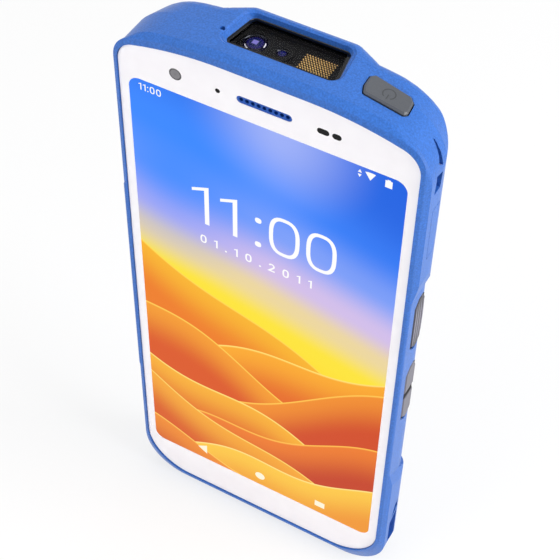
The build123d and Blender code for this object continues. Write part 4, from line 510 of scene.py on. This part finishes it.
def write(work, text, left, foot, height, stroke, advance=0.0):
    """Plain figures of the terminal's clock and date, drawn as bands."""
    cut = stroke / 2
    for sign in text:
        width = FIGURE_WIDTH * height
        if sign == "0":
            nought = round_loop(left + width / 2, foot + height / 2, width / 2 - cut, height / 2 - cut,
                                NOUGHT_SHAPE)
            ribbon(work, nought, stroke, True)
        elif sign == "1":
            right = left + ONE_WIDTH * height
            shoulder = foot + height - FLAG_SLOPE * ONE_WIDTH * height
            plate(work, [(left, shoulder), (left, shoulder - FLAG_WIDTH * stroke),
                         (right - stroke, foot + height - (FLAG_SLOPE + FLAG_WIDTH) * stroke),
                         (right - stroke, foot), (right, foot), (right, foot + height)])
            width = ONE_WIDTH * height
        elif sign == "2":
            radius = width / 2 - cut
            bowl = [(left + width / 2 + radius * cos(radians(turn)),
                     foot + height - cut - radius + radius * sin(radians(turn)))
                    for turn in range(160, -41, -20)]
            ribbon(work, bowl + [(left + cut, foot + cut), (left + width, foot + cut)], stroke)
        elif sign in ".:":
            for rise in (cut,) if sign == "." else (cut * 1.3, COLON_RISE * height):
                plate(work, round_loop(left + cut, foot + rise, DOT_RADIUS * stroke, DOT_RADIUS * stroke,
                                       DOT_SHAPE, 16))
            width = stroke
        left += width + (advance or FIGURE_GAP * height)


def thicken(work):
    """Give flat marks their thickness, towards -Y."""
    rise = bmesh.ops.extrude_face_region(work, geom=work.faces[:])["geom"]
    bmesh.ops.translate(work, verts=[v for v in rise if isinstance(v, bmesh.types.BMVert)],
                        vec=(0, -(MARK_PROUD + MARK_SINK), 0))


def lay_on_glass(work, name, finish):
    """Thicken flat marks and lay them on the cover glass."""
    bmesh.ops.remove_doubles(work, verts=work.verts, dist=JOIN_WITHIN)
    bmesh.ops.recalc_face_normals(work, faces=work.faces)
    thicken(work)
    mesh = mesh_of(work, name, Matrix.Translation((0, GLASS_FACE + MARK_SINK, 0)))
    add_piece(name, mesh, finish, "case")


def lit_paint(name, colour):
    """Light of the display in one colour, with the faint unevenness of its backlight."""
    finish, tree, shader, place = new_finish(name, Roughness=0.3, Specular_IOR_Level=0.2,
                                             Base_Color=linear("#0A0A0A"))
    cloud = add_node(tree, "ShaderNodeTexNoise", {"Vector": place, "Scale": 0.3})
    dim = [0.94 * c for c in linear(colour)[:3]] + [1.0]
    tone = add_node(tree, "ShaderNodeMix", {"Factor": cloud, A: dim, B: linear(colour)}, data_type="RGBA")
    drive(tree, shader, Emission_Color=tone)
    shader.inputs["Emission Strength"].default_value = 1.0
    return finish


lit_white = lit_paint("display_light_white", "#FFFFFF")
lit_cream = lit_paint("display_light_cream", "#FFF6DA")

# big clock: two ones, a colon and two noughts
CLOCK_FOOT, CLOCK_HEIGHT, CLOCK_STROKE = 114.5, 12.5, 1.2
clock = bmesh.new()
for left in (-18.7, -11.15):
    write(clock, "1", left, CLOCK_FOOT, CLOCK_HEIGHT, CLOCK_STROKE)
for z in (115.2, 123.1):
    plate(clock, round_loop(-1.15, z, 0.85, 0.85, DOT_SHAPE, 16))
for left, right in ((1.67, 9.62), (11.31, 19.04)):
    ribbon(clock, round_loop((left + right) / 2, 120.75, (right - left) / 2 - 0.53, 5.72, NOUGHT_SHAPE),
           1.06, True)
lay_on_glass(clock, "clock_figures", lit_white)

# date under it, in figures only
date = bmesh.new()
write(date, "01.10.2011", -16.8, 107.7, 2.7, 0.42, advance=2.05)
lay_on_glass(date, "date_figures", lit_white)

# status bar: small clock, data arrows, signal wedge, battery
status = bmesh.new()
write(status, "11:00", -31.5, 149.35, 1.95, 0.27, advance=0.40)
for tip, root in ((151.35, 150.5), (149.15, 150.0)):
    plate(status, [(22.96, tip), (22.5, root), (23.42, root)])
plate(status, [(24.18, 151.25), (24.8, 151.42), (25.45, 151.48), (26.1, 151.46), (26.65, 151.37),
               (25.48, 149.27)])
plate(status, [(28.9, 149.2), (30.54, 149.2), (30.54, 151.2), (30.1, 151.2), (30.1, 151.45), (29.34, 151.45),
               (29.34, 151.2), (28.9, 151.2)])
lay_on_glass(status, "status_signs", lit_white)

# row of touch signs at the foot of the display
signs = bmesh.new()
plate(signs, [(-19.93, 20.65), (-17.02, 22.6), (-17.02, 18.7)])
plate(signs, round_loop(0.15, 20.2, 1.5, 1.5))
plate(signs, [(17.47, 18.9), (20.47, 18.9), (20.47, 21.3), (17.47, 21.3)])
lay_on_glass(signs, "touch_signs", lit_cream)


# --- lenses of the scan engine -----------------------------------------------------------------------
def turned(profile, centre, steps=48):
    """Solid turned about an upright axis from radii and heights, from pole to pole or closed."""
    work = bmesh.new()
    rings = []
    for radius, height in profile:
        if radius:
            rings.append([work.verts.new((centre[0] + radius * cos(2 * pi * i / steps),
                                          centre[1] + radius * sin(2 * pi * i / steps), height))
                          for i in range(steps)])
        else:
            rings.append([work.verts.new((*centre, height))])
    for lower, upper in zip(rings, rings[1:] if len(rings[0]) == 1 else rings[1:] + rings[:1]):
        for i in range(steps):
            j = (i + 1) % steps
            corners = [lower[i % len(lower)], lower[j % len(lower)],
                       upper[j % len(upper)], upper[i % len(upper)]]
            work.faces.new(list(dict.fromkeys(corners)))
    return work


DOME_STEPS = 10
# name, centre X, radius of the glass, radius of its curve, top of the dome, finish
for name, x, radius, curve, top, finish in (
        ("imager_dome", IMAGER_X, IMAGER_RADIUS - 0.35, 6.0, 164.3, imager_glass),
        ("aimer_dome", AIMER_X, AIMER_RADIUS - 0.25, 2.6, 164.0, aimer_glass)):
    cap = [(radius * k / DOME_STEPS, top - curve + sqrt(curve ** 2 - (radius * k / DOME_STEPS) ** 2))
           for k in range(DOME_STEPS + 1)]
    dome = turned(cap + [(radius, LENS_FLOOR), (0, LENS_FLOOR)], (x, LENS_Y))
    dome = add_piece(name, mesh_of(dome, name, smooth=True), finish, "case")
    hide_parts(name.replace("dome", "lens"))
# bevelled retaining rings round the two lenses
RING_SHOULDER, RING_TOP = 163.72, 163.86
for name, x, outer, width in (("imager_ring", IMAGER_X, IMAGER_RADIUS, 0.33),
                              ("aimer_ring", AIMER_X, AIMER_RADIUS, 0.23)):
    inner = outer - width
    ring = turned([(inner, LENS_FLOOR), (inner, RING_SHOULDER), (inner + 0.12, RING_TOP),
                   (outer - 0.03, RING_TOP), (outer - 0.02, LENS_FLOOR)], (x, LENS_Y))
    add_piece(name, mesh_of(ring, name), rim_anodised, "case")


# --- sealing bead round the scan window, painted shade lines round the side caps -------------------------
# Glossy silicone: a thin line of light round the scan window.
bead_black = plain("silicone_black_gloss", "#0B0B0D", 0.12, patch=3.0, Specular_IOR_Level=0.5)
# Matte black: a dark bead round each cap, a line of painted shade where its side wall is in shadow.
shade_line_black = plain("black_matte_painted_shade_line", "#1B1A1E", 0.6, patch=3.0, Specular_IOR_Level=0.2)
BEAD_SIDES = 10


def rounded(corners, radius, steps=8):
    """Closed path through corners that are eased over a radius."""
    path = []
    for index, corner in enumerate(corners):
        before = (corners[index - 1] - corner).normalized() * radius
        after = (corners[(index + 1) % len(corners)] - corner).normalized() * radius
        path += [corner + before * (1 - k / steps) ** 2 + after * (k / steps) ** 2 for k in range(steps + 1)]
    return path


def add_bead(name, path, away, radius, finish):
    """Round bead along a closed path; away points off the face it lies on."""
    work = bmesh.new()
    turns = [2 * pi * k / BEAD_SIDES for k in range(BEAD_SIDES)]
    loops = []
    for index, point in enumerate(path):
        ahead = (path[(index + 1) % len(path)] - path[index - 1]).normalized()
        across = ahead.cross(away)
        loops.append([work.verts.new(point + (across * cos(turn) + away * sin(turn)) * radius)
                      for turn in turns])
    for start, end in zip(loops, loops[1:] + loops[:1]):
        for k in range(BEAD_SIDES):
            after = (k + 1) % BEAD_SIDES
            work.faces.new((start[k], start[after], end[after], end[k]))
    add_piece(name, mesh_of(work, name, smooth=True), finish, "case")


BEAD_RADIUS, WINDOW_CORNER = 0.15, 1.5
SHADE_LINE_RADIUS = 0.18
SHADE_LINE_GAP = 0.03          # between a cap's outline and the painted shade line round it
SHADE_LINE_SINK = 0.04         # how far the shade line's middle lies below the edge of the crown
CROWN_DEPTH = 1.5        # part of a cap that counts as its crown
CROWN_NEAR = 0.4         # reach within which the crown's height is taken
edge = [Vector((x, y, WINDOW_FACE)) for x, y in (
    (-WINDOW_NEAR_HALF, WINDOW_NEAR), (WINDOW_NEAR_HALF, WINDOW_NEAR),
    (WINDOW_FAR_HALF, WINDOW_FAR), (-WINDOW_FAR_HALF, WINDOW_FAR))]
add_bead("window_bead", rounded(edge, WINDOW_CORNER), Vector((0, 0, 1)), BEAD_RADIUS, bead_black)

# a bead of painted shade round each cap's crown
for name, side in (("right_trigger", 1), ("left_trigger", -1), ("volume_rocker", 1)):
    # outline of the cap's crown, as the hull of its points seen from the side
    crown = [vertex.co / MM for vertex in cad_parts[name].data.vertices]
    face = max(side * point.x for point in crown)
    crown = [point for point in crown if side * point.x > face - CROWN_DEPTH]
    rim = bmesh.new()
    for point in crown:
        rim.verts.new((0, point.y, point.z))
    hull = bmesh.ops.convex_hull(rim, input=rim.verts)["geom"]
    corners = [v.co.copy() for v in hull if isinstance(v, bmesh.types.BMVert)]
    rim.free()
    middle = sum(corners, Vector()) / len(corners)
    corners.sort(key=lambda corner: atan2(corner.z - middle.z, corner.y - middle.y))
    outline = []
    for corner in corners:
        height = max(side * point.x for point in crown
                     if hypot(point.y - corner.y, point.z - corner.z) < CROWN_NEAR)
        corner += (corner - middle).normalized() * (SHADE_LINE_RADIUS + SHADE_LINE_GAP)
        outline.append(Vector((side * (height - SHADE_LINE_SINK), corner.y, corner.z)))
    add_bead(f"{name}_painted_shade_line", outline, Vector((side, 0, 0)), SHADE_LINE_RADIUS, shade_line_black)


# --- repeats made by geometry nodes --------------------------------------------------------------------
SOCKET_KINDS = {int: "NodeSocketInt", float: "NodeSocketFloat", tuple: "NodeSocketVector"}


def new_growth(name, **inputs):
    """A geometry tree with named inputs, and the outputs that give their values."""
    growth = bpy.data.node_groups.new(name, "GeometryNodeTree")
    growth.interface.new_socket("Geometry", in_out="OUTPUT", socket_type="NodeSocketGeometry")
    for socket, value in inputs.items():
        kind = SOCKET_KINDS.get(type(value), "NodeSocketMaterial")
        growth.interface.new_socket(socket.replace("_", " "), in_out="INPUT", socket_type=kind)
    return growth, add_node(growth, "NodeGroupInput").outputs


def end_growth(growth, shape, sizes):
    """Last steps of a geometry tree: to its place, to one plain mesh, with its finish."""
    placed = add_node(growth, "GeometryNodeTransform", {0: shape, "Translation": sizes["Place"]})
    plain_mesh = add_node(growth, "GeometryNodeRealizeInstances", {0: placed})
    painted = add_node(growth, "GeometryNodeSetMaterial", {0: plain_mesh, "Material": sizes["Finish"]})
    add_node(growth, "NodeGroupOutput", {0: painted})


def grow(name, growth, body, slot, finish, **inputs):
    """Run a geometry tree with its sizes and keep the result as one plain mesh."""
    carrier = bpy.data.objects.new(name, bpy.data.meshes.new(name))
    scene.collection.objects.link(carrier)
    modifier = carrier.modifiers.new("growth", "NODES")
    modifier.node_group = growth
    identifiers = {item.name: item.identifier for item in growth.interface.items_tree
                   if item.in_out == "INPUT"}
    for socket, value in {**inputs, "Finish": finish}.items():
        modifier[identifiers[socket.replace("_", " ")]] = value
    bpy.context.view_layer.update()
    grown = carrier.evaluated_get(bpy.context.evaluated_depsgraph_get())
    result = bpy.data.meshes.new_from_object(grown)
    bpy.data.objects.remove(carrier)
    add_piece(name, result, finish, body)


# staggered field of plated studs: two square fields, the second with a row and a column less, so
# that it falls between the studs of the first
studs, sizes = new_growth("stud_field", Columns=1, Rows=1, Pitch_X=1.0, Pitch_Y=1.0, Stud_Radius=1.0,
                          Stud_Height=1.0, Place=(0.0, 0.0, 0.0), Finish=None)
stud = add_node(studs, "GeometryNodeMeshCone", {"Vertices": 10, "Radius Top": 0.45, "Radius Bottom": 1.0,
                                                "Depth": 1.0})
sizing = add_node(studs, "ShaderNodeCombineXYZ", {0: sizes["Stud Radius"], 1: sizes["Stud Radius"],
                                                  2: sizes["Stud Height"]})
stud = add_node(studs, "GeometryNodeTransform", {0: stud, "Scale": sizing})
fields = []
for fewer in (0, 1):
    spans = []
    for count, pitch in (("Columns", "Pitch X"), ("Rows", "Pitch Y")):
        number = add_node(studs, "ShaderNodeMath", {0: sizes[count], 1: fewer}, operation="SUBTRACT")
        gaps = add_node(studs, "ShaderNodeMath", {0: number, 1: 1}, operation="SUBTRACT")
        span = add_node(studs, "ShaderNodeMath", {0: gaps, 1: sizes[pitch]}, operation="MULTIPLY")
        spans.append((number, span))
    field = add_node(studs, "GeometryNodeMeshGrid", {"Size X": spans[0][1], "Size Y": spans[1][1],
                                                     "Vertices X": spans[0][0], "Vertices Y": spans[1][0]})
    fields.append(add_node(studs, "GeometryNodeInstanceOnPoints", {0: field, "Instance": stud}))
both = add_node(studs, "GeometryNodeJoinGeometry")
for field in fields:
    studs.links.new(field.outputs[0], both.inputs[0])
end_growth(studs, both, sizes)

STUD_COLUMNS, STUD_ROWS, STUD_RADIUS, STUD_HEIGHT = 12, 7, 0.175, 0.08
STUD_MARGIN = 0.3        # from the emitter's edge to the middles of its outer studs
grow("emitter_studs", studs, "case", "gold", gold_plate, Columns=STUD_COLUMNS, Rows=STUD_ROWS,
     Pitch_X=(EMITTER_WIDTH - 2 * STUD_MARGIN) / (STUD_COLUMNS - 1) * MM,
     Pitch_Y=(EMITTER_BREADTH - 2 * STUD_MARGIN) / (STUD_ROWS - 1) * MM,
     Stud_Radius=STUD_RADIUS * MM, Stud_Height=STUD_HEIGHT * MM,
     Place=(EMITTER_X * MM, LENS_Y * MM, ENGINE_FACE * MM))

# lengthwise ribs: a row of slim tapering rods, their middles just below the face that carries them
ribs, sizes = new_growth("rib_row", Count=1, Pitch=1.0, Length=1.0, Rib_Radius=1.0,
                         Place=(0.0, 0.0, 0.0), Finish=None)
gaps = add_node(ribs, "ShaderNodeMath", {0: sizes["Count"], 1: 1}, operation="SUBTRACT")
span = add_node(ribs, "ShaderNodeMath", {0: gaps, 1: sizes["Pitch"]}, operation="MULTIPLY")
first = add_node(ribs, "ShaderNodeMath", {0: span, 1: -0.5}, operation="MULTIPLY")
start = add_node(ribs, "ShaderNodeCombineXYZ", {1: first})
step = add_node(ribs, "ShaderNodeCombineXYZ", {1: sizes["Pitch"]})
row = add_node(ribs, "GeometryNodeMeshLine", {"Count": sizes["Count"], "Start Location": start,
                                              "Offset": step})
rod = add_node(ribs, "GeometryNodeMeshUVSphere", {"Segments": 16, "Rings": 12, "Radius": 1.0})
half_length = add_node(ribs, "ShaderNodeMath", {0: sizes["Length"], 1: 0.5}, operation="MULTIPLY")
sizing = add_node(ribs, "ShaderNodeCombineXYZ", {0: sizes["Rib Radius"], 1: sizes["Rib Radius"],
                                                 2: half_length})
rod = add_node(ribs, "GeometryNodeTransform", {0: rod, "Scale": sizing})
rods = add_node(ribs, "GeometryNodeInstanceOnPoints", {0: row, "Instance": rod})
end_growth(ribs, rods, sizes)

RIB_COUNT, RIB_PITCH, RIB_LENGTH, RIB_RADIUS, RIB_SINK = 4, 1.25, 14.5, 0.24, 0.06
# ribs in the pale grey of a painted highlight
for name, side in (("right_trigger", 1), ("left_trigger", -1)):
    low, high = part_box(name)
    face = high[0] if side > 0 else low[0]
    middle = [(low[axis] + high[axis]) / 2 for axis in range(3)]
    grow(f"{name}_ribs", ribs, name, "button_grey", rib_grey_painted_highlight, Count=RIB_COUNT, Pitch=RIB_PITCH * MM,
         Length=RIB_LENGTH * MM, Rib_Radius=RIB_RADIUS * MM,
         Place=(face - side * RIB_SINK * MM, middle[1], middle[2]))

# --- standby sign on the power button --------------------------------------------------------------------
# Satin ink, a little darker than the button under it.
sign_grey = moulded("ink_grey_satin", "#404347", 0.5, 0.3, 0.003, Specular_IOR_Level=0.3)
SIGN_RADIUS, SIGN_STROKE = 1.38, 0.28
SIGN_GAP = 32            # half angle of the ring's opening, in degrees
SIGN_SHIFT = -0.13       # of the sign from the middle of the button
sign = bmesh.new()
arc = [(SIGN_RADIUS * sin(radians(turn)), -SIGN_RADIUS * cos(radians(turn)))
       for turn in range(SIGN_GAP, 361 - SIGN_GAP, 8)]
ribbon(sign, arc, SIGN_STROKE)
ribbon(sign, [(0, -1.62), (0, -0.2)], SIGN_STROKE)
thicken(sign)
lie_down = Matrix.Rotation(radians(-90), 4, "X")
place = (Matrix.Translation((POWER_X, POWER_Y, POWER_Z)) @ Matrix.Rotation(POWER_TILT, 4, "Y")
         @ Matrix.Translation((0, SIGN_SHIFT, POWER_PROUD - MARK_SINK)) @ lie_down)
add_piece("standby_sign", mesh_of(sign, "standby_sign", place), sign_grey, "power_button")

# --- camera, light and floor ----------------------------------------------------------------------
camera = bpy.data.objects.new("camera", bpy.data.cameras.new("camera"))
scene.collection.objects.link(camera)
camera.location = (0.11142, -0.21134, 0.36741)
camera.rotation_euler = (radians(41.1195), radians(-0.9889), radians(28.9689))
camera.data.lens, camera.data.sensor_width, camera.data.clip_start = 95.136, 36.0, 0.01
scene.camera = camera

LAMP_AIM = Vector((0, 0, 0.1))
LAMPS = (  # name, place, size, power
    ("key_right", (0.75, 0.05, 0.55), 0.5, 7.0),
    ("front_left", (-0.55, -0.85, 0.45), 0.7, 4.6),
    ("overhead", (-0.1, 0.15, 1.0), 0.6, 2.4),
)
for name, spot, size, power in LAMPS:
    lamp = bpy.data.objects.new(name, bpy.data.lights.new(name, "AREA"))
    scene.collection.objects.link(lamp)
    lamp.data.size, lamp.data.energy = size, power
    lamp.location = spot
    lamp.rotation_euler = (Vector(spot) - LAMP_AIM).to_track_quat("Z", "Y").to_euler()


def white_to_the_eye(tree, seen, other):
    """Shader seen by the camera and in reflections, and another for the light that falls on things."""
    path = add_node(tree, "ShaderNodeLightPath").outputs
    rays = add_node(tree, "ShaderNodeMath", {0: path["Is Camera Ray"], 1: path["Is Glossy Ray"]},
                    operation="MAXIMUM")
    rays = add_node(tree, "ShaderNodeMath", {0: rays, 1: path["Is Transmission Ray"]},
                    operation="MAXIMUM")
    return add_node(tree, "ShaderNodeMixShader", {0: rays, 1: other, 2: seen})


WHITE = (1, 1, 1, 1)
ROOM_LIGHT = 0.42        # strength of the white room as it falls on things
PAPER_GLOW = 0.75        # share of pure white in the floor as it is seen, the rest being lit paper
world = scene.world or bpy.data.worlds.new("world")
scene.world = world
world.use_nodes = True
tree = world.node_tree
tree.nodes.clear()
seen = add_node(tree, "ShaderNodeBackground", {"Color": WHITE, "Strength": 1.0})
other = add_node(tree, "ShaderNodeBackground", {"Color": WHITE, "Strength": ROOM_LIGHT})
add_node(tree, "ShaderNodeOutputWorld", {0: white_to_the_eye(tree, seen, other)})

bpy.ops.mesh.primitive_plane_add(size=6.0)
floor = bpy.context.object
floor.name = "floor"
# Matt white paper that keeps a faint shadow.
paper = bpy.data.materials.new("paper_white")
paper.use_nodes = True
tree = paper.node_tree
tree.nodes.clear()
matt = add_node(tree, "ShaderNodeBsdfDiffuse", {"Color": linear("#F2F2F2")})
glow = add_node(tree, "ShaderNodeEmission", {"Color": WHITE, "Strength": 1.0})
seen = add_node(tree, "ShaderNodeMixShader", {0: PAPER_GLOW, 1: matt, 2: glow})
add_node(tree, "ShaderNodeOutputMaterial", {0: white_to_the_eye(tree, seen, matt)})
floor.data.materials.append(paper)

scene.view_settings.view_transform = "Standard"
